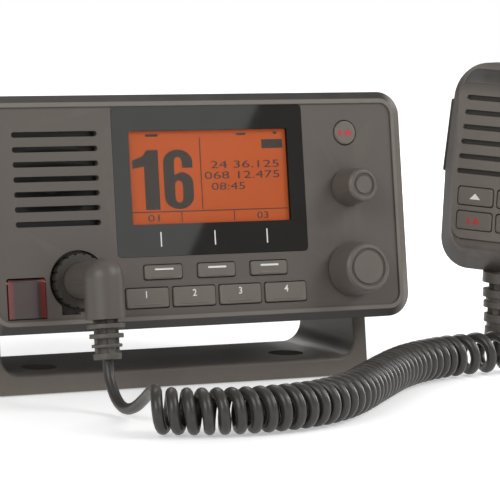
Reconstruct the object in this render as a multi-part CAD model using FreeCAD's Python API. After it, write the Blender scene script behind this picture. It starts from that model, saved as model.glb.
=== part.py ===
import FreeCAD, Part
import math
import os

V = FreeCAD.Vector

# Fixed-mount marine radio on its gimbal bracket, with a hand microphone on a curly cord.
# Row frame: the origin is the centre of the bracket's underside, X to the right, Y away from
# the viewer, Z up.  The radio is drawn square in a head frame (face plane at y = 0, face centre
# on the Y axis) and then leaned back about the gimbal axis.  The handset has its own frame too.

# Face and bezel
FACE_W = 172.0
FACE_H = 85.0
FACE_CORNER_R = 9.0
BEZEL_CHAMFER = 2.9
BEZEL_SIDE_CHAMFER = 3.9
BEZEL_CHAMFER_DEPTH = 3.4
BAND_W = 1.6
BAND_RAISE = 0.6
BEZEL_DEPTH = 12.0
WALL = 3.0
LEDGE_W = 1.9
FLANGE_T = 2.8
SEAL_T = 0.8
FIT_GAP = 0.1
LOOSE_GAP = 0.3
KEY_GAP = 0.35
OVER = 1.0
BITE = 0.5

# Display
GLASS_X0 = -33.75
GLASS_X1 = 43.05
GLASS_Z0 = -16.7
GLASS_T = 1.4
GLASS_CORNER_R = 1.8
LCD_W = 63.8
LCD_H = 34.0
LCD_X = 4.75
LCD_Z = 12.0
LCD_BORDER = 0.8
LCD_T = 2.6
LCD_FRAME_BORDER = 2.4

# Speaker
SLOT_COUNT = 7
SLOT_W = 32.85
SLOT_H = 2.0
SLOT_PITCH = 5.33
SLOT_X = -55.9
SLOT_TOP_Z = 28.35
SPEAKER_W = 35.0
SPEAKER_H = 38.0
SPEAKER_FRAME_T = 1.6
SPEAKER_CONE_D = 33.0
SPEAKER_MAGNET_D = 20.0
SPEAKER_DEPTH = 5.0
SPEAKER_BASKET = 3.2
GASKET_T = 0.9
GASKET_RIM = 1.8

# Keys
SOFT_KEY_W = 14.8
SOFT_KEY_H = 5.1
SOFT_KEY_X = (-16.4, 4.9, 26.2)
SOFT_KEY_Z = -22.4
MAIN_KEY_W = 16.7
MAIN_KEY_H = 7.1
MAIN_KEY_X0 = -23.15
MAIN_KEY_PITCH = 18.6
MAIN_KEY_COUNT = 4
MAIN_KEY_Z = -31.6
KEY_PROUD = 0.8
KEY_CORNER_R = 0.9
KEY_FLANGE = 0.5
KEY_FLANGE_T = 0.7
KEY_TRAVEL = 0.6
KEY_CLEAR = 0.2
POWER_KEY_D = 9.0
MAT_T = 2.5

# Knobs on the right
KNOB_X = 61.0
POWER_KEY_Z = 27.0
VOLUME_Z = 6.5
SELECT_Z = -24.3
VOLUME_BASE_D = 14.1
VOLUME_TIP_D = 12.4
VOLUME_LEN = 12.6
SELECT_BASE_D = 20.6
SELECT_TIP_D = 18.0
SELECT_LEN = 12.6
KNOB_GAP = 0.9
KNOB_EDGE = 0.9
KNOB_GROOVE_W = 1.0
KNOB_GROOVE_DEPTH = 0.9
KNOB_RING_W = 1.9
SHAFT_D = 6.0
SHAFT_FIT = 0.05
SHAFT_BORE_CLEAR = 0.3
ENCODER_SIZE = 12.0
ENCODER_T = 4.0
SHAFT_PUSH = 0.5

# Distress button under its cover
COVER_X0 = -76.6
COVER_X1 = -62.5
COVER_Z0 = -38.0
COVER_Z1 = -22.9
COVER_T = 1.6
COVER_PROUD = 0.5
HINGE_R = 1.25
HINGE_PIN_D = 1.2
PIN_SEAT = 1.2
DISTRESS_D = 8.4
DISTRESS_TRAVEL = 0.6
DISTRESS_HEAD_T = 1.0

# Microphone socket and plug
SOCKET_X = -49.4
SOCKET_Z = -24.4
SOCKET_RECESS_D = 22.2
SOCKET_TAB_W = 7.0
SOCKET_TAB_DROP = 11.9
SOCKET_DISC_D = 26.0
SOCKET_DISC_T = 2.0
SOCKET_CORE_D = 12.0
SOCKET_CORE_LEN = 4.4
COLLAR_D = 19.6
COLLAR_FRONT = -2.2
COLLAR_BACK = 2.7
COLLAR_NOTCHES = 18
NECK_D = 13.0
RUN_CLEAR = 0.06
BARREL_D = 14.2
BARREL_Y = -23.0
BARREL_DROP = 14.4
PIN_COUNT = 6
PIN_D = 1.2
PIN_CIRCLE_D = 7.0
PIN_LEN = 4.0
RELIEF_RINGS = ((1.5, 1.6, 13.5), (4.95, 1.65, 12.1), (8.6, 1.2, 10.8), (11.8, 2.2, 9.9))
RELIEF_CORE_D = 6.4
RELIEF_WEB_W = 2.4
RELIEF_WEB_INSET = 0.6
RELIEF_WEB_LIFT = 0.4

# Rear housing and what it holds
HOUSING_SIDE_GAP = 6.0
HOUSING_H = 68.0
HOUSING_BACK = 104.0
HOUSING_WALL = 3.0
HOUSING_CORNER_R = 5.0
REAR_FIN_COUNT = 8
REAR_FIN_PITCH = 9.0
REAR_FIN_T = 2.2
REAR_FIN_DEPTH = 12.0
TOP_FIN_COUNT = 9
TOP_FIN_PITCH = 14.0
TOP_FIN_T = 2.0
TOP_FIN_H = 3.0
TOP_FIN_FRONT = 36.0
BOSS_D = 16.0
BOSS_DEPTH = 12.0
SCREW_D = 3.0
SCREW_HEAD_D = 5.6
SCREW_HEAD_T = 1.7
SCREW_FIT = 0.05
DRIVER_SLOT_W = 2.6
DRIVER_SLOT_T = 0.7
DRIVER_SLOT_R = 0.1
CASE_SCREWS = ((-38.0, 36.0), (-38.0, -36.0), (50.0, 36.0), (50.0, -36.0), (-77.0, 0.0), (77.0, 0.0))
SCREW_POST_D = 6.0
FRONT_BOARD_X0 = -33.0
FRONT_BOARD_X1 = 72.0
FRONT_BOARD_H = 64.0
BOARD_T = 1.6
MAIN_BOARD_SIDE_GAP = 10.0
MAIN_BOARD_Y0 = 16.0
MAIN_BOARD_Y1 = 96.0
MAIN_BOARD_Z = -12.0
BOARD_POST_D = 6.0
BOARD_POST_INSET = 5.0
SHIELD_W = 60.0
SHIELD_LEN = 34.0
SHIELD_H = 8.0
SHIELD_WALL = 0.6
MODULE_W = 60.0
MODULE_LEN = 10.0
MODULE_H = 8.0
MODULE_SIDE_GAP = 3.0
ANTENNA_X = 42.0
ANTENNA_Z = 8.0
ANTENNA_THREAD_D = 15.8
ANTENNA_BORE_D = 9.0
ANTENNA_LEN = 14.0
ANTENNA_FLANGE = 25.0
ANTENNA_FLANGE_T = 2.4
GLANDS = ((14.0, -14.0, 13.0), (42.0, -22.0, 11.0))
GLAND_LEN = 10.0
GLAND_TAPER = 3.0
GLAND_BORE_D = 5.0

# Gimbal bracket, its washers and clamp knobs
LEAN_DEG = 8.5
GIMBAL_HEIGHT = 61.0
GIMBAL_BACK = 38.5
ARM_INNER = 72.0
ARM_T = 4.8
BASE_T = 7.0
BRACKET_DEPTH = 52.0
ARM_HALF_DEPTH = 17.0
ARM_INNER_R = 7.0
ARM_OUTER_R = 4.0
LIP_R = 1.6
BRACKET_HOLE_SPACING = 102.0
BRACKET_HOLE_Y = -7.0
BRACKET_HOLE_D = 5.5
COUNTERBORE_D = 13.4
COUNTERBORE_DEPTH = 2.5
STUD_D = 6.0
STUD_FIT = 0.06
WASHER_D = 20.0
WASHER_T = 1.2
WASHER_GAP = 0.1
CLAMP_KNOB_D = 27.0
CLAMP_KNOB_LEN = 15.0
CLAMP_FLUTES = 8
CLAMP_FLUTE_D = 7.0
CLAMP_FLUTE_OUT = 1.2
CLAMP_EDGE = 1.2
CLAMP_COLLAR_T = 2.0
CLAMP_COLLAR_INSET = 4.0
STUD_LEN = 16.0

# Handset
HAND_W = 53.0
HAND_TAPER = 3.0
HAND_TAPER_Z = -2.0
HAND_H = 80.6
HAND_FRONT_T = 12.0
HAND_REAR_T = 14.0
HAND_SEAM = 0.2
HAND_TOP_R = 15.0
HAND_BOTTOM_R = 12.0
HAND_SIDE_R = 60.0
HAND_FRONT_INSET = 9.0
HAND_FRONT_SLOPE = 9.0
HAND_REAR_INSET = 6.0
HAND_REAR_SLOPE = 9.0
HAND_WALL = 2.2
HAND_PANEL_W = 36.0
HAND_PANEL_TOP = 33.0
HAND_PANEL_BOTTOM = -27.6
HAND_PANEL_R = 4.0
HAND_PANEL_RAISE = 0.5
HAND_SLOT_W = 29.0
HAND_SLOT_GROW = 1.0
HAND_SLOT_H = 2.0
HAND_SLOT_COUNT = 6
HAND_SLOT_PITCH = 5.7
HAND_SLOT_TOP = 27.0
HAND_KEY_X = 8.3
HAND_KEY_W = 14.8
ARROW_KEY_Z = -11.0
ARROW_KEY_H = 6.9
LOWER_KEY_Z = -20.4
LOWER_KEY_H = 6.9
HAND_KEY_TRAVEL = 0.6
PTT_Z = 11.0
PTT_H = 28.5
PTT_Y = 14.0
PTT_W = 9.0
PTT_PROUD = 1.6
PTT_DEPTH = 4.0
PTT_TRAVEL = 1.2
PTT_RIM_W = 1.6
PTT_RIM_H = 1.2
PTT_RIM_GAP = 0.9
PTT_EDGE_R = 1.0
HAND_RELIEF_RINGS = (
    (0.2, 3.9, 16.4),
    (6.9, 2.9, 15.4),
    (9.8, 1.8, 12.8),
    (11.6, 2.3, 14.4),
    (16.6, 3.0, 13.4),
    (19.6, 2.2, 10.8),
    (21.8, 3.6, 12.2),
)
HAND_RELIEF_CORE_D = 6.4
CAPSULE_D = 3.0
CAPSULE_Z = -27.0
HANGER_D = 14.0
HANGER_T = 3.0
HANGER_STEM_D = 8.0
HANGER_STAND = 3.0
HANGER_Z = 14.0
HANGER_SPIGOT_D = 3.0
HAND_SCREW_D = 2.4
HAND_SCREW_X = 17.0
HAND_SCREW_Z = 22.0
HAND_POST_D = 6.0
HAND_REAR_POST_D = 6.6
HAND_POST_LIFT = 2.6
HAND_WEB_T = 2.4
HAND_SCREW_START = 4.0
HAND_HEAD_D = 4.4
HAND_HEAD_T = 1.6
HAND_HEAD_SINK = 3.0
HAND_YAW_DEG = -55.7
HAND_ROLL_DEG = 2.8
TAIL_LEN = 4.4
TAIL_GAP = 0.35
HAND_RELIEF_LEN = 25.4
RELIEF_ROOT = 3.0
RELIEF_HOLE_GAP = 0.1
RELIEF_HOLE_LEN = 12.0
HAND_SPEAKER_D = 24.0
HAND_SPEAKER_DROP = 12.0
HAND_SPEAKER_RING_T = 2.0
HAND_SPEAKER_T = 5.2
HAND_SPEAKER_DISH = 1.4
HAND_KEY_R = 1.2
HAND_KEY_PROUD = 0.6
HAND_KEY_EDGE = 0.4
HAND_KEY_RIM_T = 0.8
HAND_KEY_STEM_D = 3.0
HAND_BOARD_GAP = 4.2
HAND_BOARD_R = 2.0
HAND_BOARD_W = 38.0
HAND_BOARD_H = 45.0
HAND_BOARD_Z = -8.5
HAND_BOARD_T = 1.4

# Cord: the free lead, the curls and the tail into the handset
WIRE_D = 4.0
COIL_D = 16.0
COIL_LIFT = 0.05
COIL_PITCH = 5.0
COIL_LOOSE_PITCH = 10.5
COIL_LOOSE_TURNS = 5.0
COIL_ROUTE = (
    (-54.4, -121.9),
    (-48.5, -125.4),
    (-41.5, -128.8),
    (-32.0, -131.6),
    (-22.0, -132.6),
    (-11.5, -131.8),
    (-0.5, -129.0),
    (10.0, -124.0),
    (20.0, -116.9),
    (29.0, -108.2),
    (47.6, -87.6),
    (70.0, -63.5),
    (88.0, -50.5),
    (107.0, -42.6),
    (131.3, -39.0),
)
LEAD_ROUTE = (
    (-49.5, -71.6, 9.6),
    (-49.3, -76.9, 4.2),
    (-49.2, -84.0, 2.4),
    (-49.0, -91.8, 4.2),
    (-49.2, -99.6, 8.2),
    (-50.2, -107.2, 12.0),
)


# Outlines and simple solids, drawn in the XZ plane and run along Y

def slab_wire(cx, cz, w, h, r, y):
    """Rounded rectangle wire in the plane y, centred on (cx, cz)."""
    hw = w / 2.0
    hh = h / 2.0
    r = min(r, hw - 0.01, hh - 0.01)
    k = r * (1.0 - math.sqrt(0.5))
    edges = []
    corners = ((1, 1), (-1, 1), (-1, -1), (1, -1))
    starts = []
    for sx, sz in corners:
        flat = V(cx + sx * hw, y, cz + sz * (hh - r))
        mid = V(cx + sx * (hw - k), y, cz + sz * (hh - k))
        top = V(cx + sx * (hw - r), y, cz + sz * hh)
        starts.append((flat, mid, top) if sx * sz > 0 else (top, mid, flat))
    for i, (a, m, b) in enumerate(starts):
        edges.append(Part.Arc(a, m, b).toShape())
        after = starts[(i + 1) % 4][0]
        edges.append(Part.LineSegment(b, after).toShape())
    return Part.Wire(edges)


def slab(cx, cz, w, h, r, y0, y1):
    """Rounded rectangle prism from y0 to y1."""
    face = Part.Face(slab_wire(cx, cz, w, h, r, y0))
    return face.extrude(V(0, y1 - y0, 0))


def frustum(cx, cz, w0, h0, r0, y0, w1, h1, r1, y1):
    """Straight loft between two rounded rectangles."""
    wires = [slab_wire(cx, cz, w0, h0, r0, y0), slab_wire(cx, cz, w1, h1, r1, y1)]
    return Part.makeLoft(wires, True, True)


def rod(cx, cz, d, y0, y1):
    """Cylinder along Y from y0 to y1."""
    return Part.makeCylinder(d / 2.0, y1 - y0, V(cx, y0, cz), V(0, 1, 0))


def cone(cx, cz, d0, y0, d1, y1):
    """Cone along Y, diameter d0 at y0 and d1 at y1."""
    return Part.makeCone(d0 / 2.0, d1 / 2.0, y1 - y0, V(cx, y0, cz), V(0, 1, 0))


def block(x0, x1, y0, y1, z0, z1):
    """Plain box between two corners."""
    return Part.makeBox(x1 - x0, y1 - y0, z1 - z0, V(x0, y0, z0))


def join(shapes):
    """One shape from several that meet."""
    return shapes[0].fuse(list(shapes[1:])).removeSplitter()


def group(shapes):
    """Separate solids kept together."""
    return Part.makeCompound(shapes)


# Stations along the head frame's Y axis

PANEL_BACK = WALL
KEY_BACK = PANEL_BACK + KEY_FLANGE_T + FIT_GAP
MAT_FRONT = KEY_BACK + KEY_TRAVEL + KEY_CLEAR
MAT_BACK = MAT_FRONT + MAT_T
BOARD_FRONT = MAT_BACK + FIT_GAP
ENCODER_FLOOR = BOARD_FRONT - 0.5
FLANGE_BACK = BEZEL_DEPTH
FLANGE_FRONT = FLANGE_BACK - FLANGE_T
SEAL_FRONT = FLANGE_FRONT - SEAL_T
RIM_FRONT = -BAND_RAISE
PANEL_INSET = BEZEL_CHAMFER + BAND_W
PANEL_W = FACE_W - 2 * (BEZEL_SIDE_CHAMFER + BAND_W)
PANEL_H = FACE_H - 2 * PANEL_INSET
PANEL_R = FACE_CORNER_R - PANEL_INSET
INNER_W = FACE_W - 2 * WALL
INNER_H = FACE_H - 2 * WALL
INNER_R = FACE_CORNER_R - WALL
CORE_W = INNER_W - 2 * LEDGE_W
CORE_H = INNER_H - 2 * LEDGE_W
CORE_R = INNER_R - LEDGE_W
GLASS_Z1 = PANEL_H / 2.0
GLASS_W = GLASS_X1 - GLASS_X0
GLASS_H = GLASS_Z1 - GLASS_Z0
GLASS_CX = (GLASS_X0 + GLASS_X1) / 2.0
GLASS_CZ = (GLASS_Z0 + GLASS_Z1) / 2.0
MAIN_KEY_XS = [MAIN_KEY_X0 + i * MAIN_KEY_PITCH for i in range(MAIN_KEY_COUNT)]
SPEAKER_Z = SLOT_TOP_Z - (SLOT_COUNT - 1) * SLOT_PITCH / 2.0
COVER_CX = (COVER_X0 + COVER_X1) / 2.0
COVER_CZ = (COVER_Z0 + COVER_Z1) / 2.0
HINGE_Y = HINGE_R - COVER_PROUD
HINGE_Z = COVER_Z1 - HINGE_R
DISTRESS_Z = COVER_CZ - 0.4
BARREL_R = BARREL_D / 2.0
BARREL_END_Z = SOCKET_Z - BARREL_DROP
RELIEF_END = BARREL_END_Z - RELIEF_RINGS[-1][0] - RELIEF_RINGS[-1][1]
ARM_OUTER = ARM_INNER + ARM_T
HOUSING_W = 2 * (ARM_INNER - HOUSING_SIDE_GAP)
MAIN_BOARD_W = HOUSING_W - 2 * MAIN_BOARD_SIDE_GAP
BOSS_FACE = ARM_INNER - WASHER_GAP - WASHER_T
KNOB_SEAT = ARM_OUTER + LOOSE_GAP


def panel_outline(inset, y0, y1):
    """Prism of the inset panel's outline, drawn in by inset."""
    return slab(0, 0, PANEL_W - 2 * inset, PANEL_H - 2 * inset, PANEL_R - inset, y0, y1)


def cover_blank(grow, y0, y1):
    """Outline of the distress cover, which shares the panel's rounded corner."""
    w = COVER_X1 - COVER_X0 + 2 * grow
    h = COVER_Z1 - COVER_Z0 + 2 * grow
    blank = slab(COVER_CX, COVER_CZ, w, h, 0.8, y0, y1)
    return blank.common(panel_outline(1.0 - grow, y0, y1))


# Head pieces

def key_openings():
    """Holes in the front wall for every key."""
    holes = []
    front = RIM_FRONT - OVER
    for x in SOFT_KEY_X:
        w = SOFT_KEY_W + 2 * KEY_GAP
        h = SOFT_KEY_H + 2 * KEY_GAP
        holes.append(slab(x, SOFT_KEY_Z, w, h, KEY_CORNER_R, front, PANEL_BACK + OVER))
    for x in MAIN_KEY_XS:
        w = MAIN_KEY_W + 2 * KEY_GAP
        h = MAIN_KEY_H + 2 * KEY_GAP
        holes.append(slab(x, MAIN_KEY_Z, w, h, KEY_CORNER_R, front, PANEL_BACK + OVER))
    holes.append(rod(KNOB_X, POWER_KEY_Z, POWER_KEY_D + 2 * KEY_GAP, front, PANEL_BACK + OVER))
    return holes


def make_front_bezel():
    """Bezel and front panel in one moulding, open at the back."""
    chamfer_w = FACE_W - 2 * BEZEL_SIDE_CHAMFER
    chamfer_h = FACE_H - 2 * BEZEL_CHAMFER
    back = RIM_FRONT + BEZEL_CHAMFER_DEPTH
    nose = frustum(0, 0, chamfer_w, chamfer_h, FACE_CORNER_R - BEZEL_CHAMFER, RIM_FRONT,
                   FACE_W, FACE_H, FACE_CORNER_R, back)
    body = join([nose, slab(0, 0, FACE_W, FACE_H, FACE_CORNER_R, back, BEZEL_DEPTH)])
    cuts = [panel_outline(0.0, RIM_FRONT - OVER, 0.0)]
    cuts.append(slab(0, 0, CORE_W, CORE_H, CORE_R, PANEL_BACK, SEAL_FRONT + 0.01))
    cuts.append(slab(0, 0, INNER_W, INNER_H, INNER_R, SEAL_FRONT, BEZEL_DEPTH + OVER))
    body = body.cut(cuts)
    posts = [rod(x, z, SCREW_POST_D, PANEL_BACK - BITE, SEAL_FRONT) for x, z in CASE_SCREWS]
    body = join([body] + posts)
    cuts = [rod(x, z, SCREW_D + 2 * SCREW_FIT, PANEL_BACK, BEZEL_DEPTH) for x, z in CASE_SCREWS]
    glass_w = GLASS_W + 2 * FIT_GAP
    glass_h = GLASS_H + 2 * FIT_GAP
    cuts.append(slab(GLASS_CX, GLASS_CZ, glass_w, glass_h, GLASS_CORNER_R, -0.01, GLASS_T))
    lcd_w = LCD_W + 2 * LCD_BORDER + 2 * FIT_GAP
    lcd_h = LCD_H + 2 * LCD_BORDER + 2 * FIT_GAP
    cuts.append(slab(LCD_X, LCD_Z, lcd_w, lcd_h, 0.6, 0.0, PANEL_BACK + OVER))
    for i in range(SLOT_COUNT):
        z = SLOT_TOP_Z - i * SLOT_PITCH
        cuts.append(slab(SLOT_X, z, SLOT_W, SLOT_H, SLOT_H / 2.0, -1, PANEL_BACK + OVER))
    cuts += key_openings()
    for z in (VOLUME_Z, SELECT_Z):
        cuts.append(rod(KNOB_X, z, SHAFT_D + 2 * SHAFT_BORE_CLEAR, -1, PANEL_BACK + OVER))
    cuts.append(rod(SOCKET_X, SOCKET_Z, SOCKET_RECESS_D, -1, PANEL_BACK + OVER))
    tab_bottom = SOCKET_Z - SOCKET_TAB_DROP
    cuts.append(block(SOCKET_X - SOCKET_TAB_W, SOCKET_X, -1, PANEL_BACK + OVER, tab_bottom, SOCKET_Z))
    cuts.append(cover_blank(KEY_GAP, RIM_FRONT - OVER, PANEL_BACK + OVER))
    body = body.cut(cuts)
    wide = COVER_X1 - COVER_X0 + 2 * PIN_SEAT
    at = V(COVER_X0 - PIN_SEAT, HINGE_Y, HINGE_Z)
    pin = Part.makeCylinder(HINGE_PIN_D / 2.0 + SHAFT_FIT, wide, at, V(1, 0, 0))
    return body.cut(pin)


def make_display_window():
    """Flat window over the display."""
    return slab(GLASS_CX, GLASS_CZ, GLASS_W, GLASS_H, GLASS_CORNER_R, 0.0, GLASS_T)


def make_lcd_panel():
    """Display cell behind the window."""
    w = LCD_W + 2 * LCD_BORDER
    h = LCD_H + 2 * LCD_BORDER
    return slab(LCD_X, LCD_Z, w, h, 0.5, GLASS_T + 0.1, GLASS_T + 0.1 + LCD_T)


def make_lcd_frame():
    """Frame that carries the display cell on the front board."""
    front = PANEL_BACK + FIT_GAP
    lcd_back = GLASS_T + 0.1 + LCD_T
    w = LCD_W + 2 * LCD_BORDER + 2 * LCD_FRAME_BORDER
    h = LCD_H + 2 * LCD_BORDER + 2 * LCD_FRAME_BORDER
    frame = slab(LCD_X, LCD_Z, w, h, 1.0, front, MAT_BACK)
    seat_w = LCD_W + 2 * LCD_BORDER + 2 * FIT_GAP
    seat_h = LCD_H + 2 * LCD_BORDER + 2 * FIT_GAP
    return frame.cut(slab(LCD_X, LCD_Z, seat_w, seat_h, 0.6, front - OVER, lcd_back + FIT_GAP))


def make_keypad_mat():
    """Rubber mat with a dome under each key."""
    x0 = FRONT_BOARD_X0 + OVER
    x1 = MAIN_KEY_XS[-1] + MAIN_KEY_W / 2.0 + 2.0
    z1 = SOFT_KEY_Z + SOFT_KEY_H / 2.0 + 1.6
    z0 = -FRONT_BOARD_H / 2.0 + 0.5
    mat = block(x0, x1, MAT_FRONT + 0.6, MAT_BACK, z0, z1)
    domes = [rod(x, SOFT_KEY_Z, 3.6, MAT_FRONT, MAT_FRONT + OVER) for x in SOFT_KEY_X]
    domes += [rod(x, MAIN_KEY_Z + 1.4, 3.6, MAT_FRONT, MAT_FRONT + OVER) for x in MAIN_KEY_XS]
    mat = join([mat] + domes)
    post_d = SCREW_POST_D + 2 * LOOSE_GAP
    posts = [rod(x, z, post_d, MAT_FRONT - OVER, MAT_BACK + OVER) for x, z in CASE_SCREWS]
    return mat.cut(posts)


def make_front_board():
    """Circuit board behind the keys and knobs."""
    w = FRONT_BOARD_X1 - FRONT_BOARD_X0
    cx = (FRONT_BOARD_X0 + FRONT_BOARD_X1) / 2.0
    board = slab(cx, 0, w, FRONT_BOARD_H, 1.5, BOARD_FRONT, BOARD_FRONT + BOARD_T)
    return board.cut([rod(KNOB_X, z, SHAFT_D + OVER, 0, 20) for z in (VOLUME_Z, SELECT_Z)])


def make_loudspeaker():
    """Loudspeaker with its square frame, cone and magnet."""
    front = PANEL_BACK + GASKET_T
    frame = slab(SLOT_X, SPEAKER_Z, SPEAKER_W, SPEAKER_H, 3.0, front, front + SPEAKER_FRAME_T)
    start = front + SPEAKER_FRAME_T - FIT_GAP
    basket_d = SPEAKER_MAGNET_D + 4.0
    basket = cone(SLOT_X, SPEAKER_Z, SPEAKER_CONE_D, start, basket_d, front + SPEAKER_BASKET)
    magnet_start = front + SPEAKER_BASKET - FIT_GAP
    magnet = rod(SLOT_X, SPEAKER_Z, SPEAKER_MAGNET_D, magnet_start, front + SPEAKER_DEPTH)
    dish = cone(SLOT_X, SPEAKER_Z, SPEAKER_CONE_D - 3, front - 0.01, 10, front + 2.2)
    return join([frame, basket, magnet]).cut(dish)


def make_speaker_gasket():
    """Foam ring between the loudspeaker and the panel."""
    ring = slab(SLOT_X, SPEAKER_Z, SPEAKER_W, SPEAKER_H, 3.0, PANEL_BACK, PANEL_BACK + GASKET_T)
    w = SPEAKER_W - 2 * GASKET_RIM + 0.9
    h = SPEAKER_H - 2 * GASKET_RIM
    return ring.cut(slab(SLOT_X, SPEAKER_Z, w, h, 2.0, PANEL_BACK - OVER, PANEL_BACK + 2))


def make_key(cx, cz, w, h):
    """Key cap with a flange behind the front wall and a raised ridge near its foot."""
    cap = slab(cx, cz, w, h, KEY_CORNER_R, -KEY_PROUD + 0.3, PANEL_BACK + FIT_GAP + 0.1)
    nose = frustum(cx, cz, w - 0.6, h - 0.6, KEY_CORNER_R, -KEY_PROUD, w, h, KEY_CORNER_R, -KEY_PROUD + 0.3)
    flange = slab(cx, cz, w + 2 * KEY_FLANGE + 0.4, h + 2 * KEY_FLANGE + 0.4, KEY_CORNER_R,
                  PANEL_BACK + FIT_GAP, KEY_BACK)
    ridge = slab(cx, cz - 0.32 * h, 0.6 * w, 0.5, 0.24, -KEY_PROUD - 0.2, -KEY_PROUD + 0.2)
    return join([cap, nose, flange, ridge])


def make_power_key():
    """Round key at the top right."""
    front = -KEY_PROUD
    cap = rod(KNOB_X, POWER_KEY_Z, POWER_KEY_D, front + 0.5, PANEL_BACK + FIT_GAP + 0.1)
    nose = cone(KNOB_X, POWER_KEY_Z, POWER_KEY_D - OVER, front, POWER_KEY_D, front + 0.5)
    flange = rod(KNOB_X, POWER_KEY_Z, POWER_KEY_D + 2.2, PANEL_BACK + FIT_GAP, KEY_BACK)
    stem = rod(KNOB_X, POWER_KEY_Z, 3.0, KEY_BACK - 0.1, BOARD_FRONT - KEY_TRAVEL - KEY_CLEAR)
    return join([cap, nose, flange, stem])


def make_knob(z, base_d, tip_d, length):
    """Turned control knob with a ring groove in its face and a bore for its shaft."""
    back = -KNOB_GAP
    tip = back - length
    skirt = cone(KNOB_X, z, tip_d, tip + KNOB_EDGE, base_d, back)
    edge = cone(KNOB_X, z, tip_d - 2 * KNOB_EDGE, tip, tip_d, tip + KNOB_EDGE)
    knob = join([skirt, edge])
    ring_out = tip_d - 2 * KNOB_RING_W
    groove = rod(KNOB_X, z, ring_out, tip - OVER, tip + KNOB_GROOVE_DEPTH)
    groove = groove.cut(rod(KNOB_X, z, ring_out - 2 * KNOB_GROOVE_W, tip - 2, tip + 5))
    bore = rod(KNOB_X, z, SHAFT_D + 2 * SHAFT_FIT, tip + 3.0, back + OVER)
    return knob.cut([groove, bore])


def make_shaft(z, length):
    """Encoder shaft that a knob turns on and pushes in."""
    tip = -KNOB_GAP - length + 3.0 + SHAFT_BORE_CLEAR
    return rod(KNOB_X, z, SHAFT_D, tip, ENCODER_FLOOR - SHAFT_PUSH - FIT_GAP)


def make_encoder(z):
    """Encoder body on the front board."""
    half = ENCODER_SIZE / 2.0
    front = BOARD_FRONT - ENCODER_T
    body = block(KNOB_X - half, KNOB_X + half, front, BOARD_FRONT, z - half, z + half)
    return body.cut(rod(KNOB_X, z, SHAFT_D + 2 * SHAFT_FIT, front - OVER, ENCODER_FLOOR))


def make_distress_cover():
    """Sprung cover over the distress button, hinged at its top edge."""
    front = -COVER_PROUD
    plate = cover_blank(0.0, front, front + COVER_T)
    back = front + COVER_T + OVER
    above = block(COVER_X0 - OVER, COVER_X1 + OVER, front - OVER, back, HINGE_Z, COVER_Z1 + OVER)
    plate = plate.cut(above)
    x0 = COVER_X0 + 0.2
    width = COVER_X1 - COVER_X0 - 0.4
    knuckle = Part.makeCylinder(HINGE_R, width, V(x0, HINGE_Y, HINGE_Z), V(1, 0, 0))
    cover = join([plate, knuckle])
    at = V(x0 - OVER, HINGE_Y, HINGE_Z)
    bore = Part.makeCylinder(HINGE_PIN_D / 2.0 + SHAFT_FIT, width + 2 * OVER, at, V(1, 0, 0))
    return cover.cut(bore)


def make_cover_hinge_pin():
    """Pin that the distress cover turns on."""
    width = COVER_X1 - COVER_X0 + 2.0
    return Part.makeCylinder(HINGE_PIN_D / 2.0, width, V(COVER_X0 - OVER, HINGE_Y, HINGE_Z), V(1, 0, 0))


def make_distress_button():
    """Round button under the cover."""
    front = HINGE_Y + HINGE_R + LOOSE_GAP
    head = rod(COVER_CX, DISTRESS_Z, DISTRESS_D, front, front + DISTRESS_HEAD_T)
    stem = rod(COVER_CX, DISTRESS_Z, 4.0, front, front + 4.0)
    return join([head, stem])


def make_distress_switch():
    """Sealed switch body behind the distress button."""
    front = HINGE_Y + HINGE_R + LOOSE_GAP + DISTRESS_HEAD_T + DISTRESS_TRAVEL + 0.4
    body = block(COVER_X0 + 0.6, COVER_X1 - 0.6, front, SEAL_FRONT, COVER_Z0 + 2.6, COVER_Z1 - 0.4)
    return body.cut(rod(COVER_CX, DISTRESS_Z, 4.0 + 2 * SHAFT_FIT, front - OVER, front + 3.6))


# Plug and socket

def plug_pins(y0, y1, d):
    """Contact pins, or their holes, round the plug's axis."""
    pins = []
    for i in range(PIN_COUNT):
        a = 2 * math.pi * i / PIN_COUNT
        x = SOCKET_X + PIN_CIRCLE_D / 2.0 * math.cos(a)
        z = SOCKET_Z + PIN_CIRCLE_D / 2.0 * math.sin(a)
        pins.append(rod(x, z, d, y0, y1))
    return pins


def make_mic_socket():
    """Socket that closes the recess from behind."""
    disc = rod(SOCKET_X, SOCKET_Z, SOCKET_DISC_D, PANEL_BACK, PANEL_BACK + SOCKET_DISC_T)
    tab_bottom = SOCKET_Z - SOCKET_TAB_DROP - 0.6
    disc_back = PANEL_BACK + SOCKET_DISC_T
    tab = block(SOCKET_X - SOCKET_TAB_W, SOCKET_X, PANEL_BACK, disc_back, tab_bottom, SOCKET_Z)
    core_end = PANEL_BACK + SOCKET_DISC_T + SOCKET_CORE_LEN
    core = rod(SOCKET_X, SOCKET_Z, SOCKET_CORE_D, PANEL_BACK, core_end)
    body = join([disc, tab, core])
    return body.cut(plug_pins(PANEL_BACK - OVER, PANEL_BACK + PIN_LEN + 0.4, PIN_D + 2 * SHAFT_FIT))


def make_plug_elbow():
    """Right-angle plug body: a neck along Y and a domed barrel that points down."""
    neck = rod(SOCKET_X, SOCKET_Z, NECK_D, BARREL_Y, PANEL_BACK - FIT_GAP)
    barrel = Part.makeCylinder(BARREL_R, BARREL_DROP, V(SOCKET_X, BARREL_Y, BARREL_END_Z))
    dome = Part.makeSphere(BARREL_R, V(SOCKET_X, BARREL_Y, SOCKET_Z))
    body = join([barrel, dome, neck])
    return body.cut(plug_pins(PANEL_BACK - FIT_GAP - 2.0, PANEL_BACK + OVER, PIN_D))


def make_plug_contacts():
    """Contact pins of the plug."""
    return group(plug_pins(PANEL_BACK - FIT_GAP - 2.0, PANEL_BACK + PIN_LEN, PIN_D))


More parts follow.
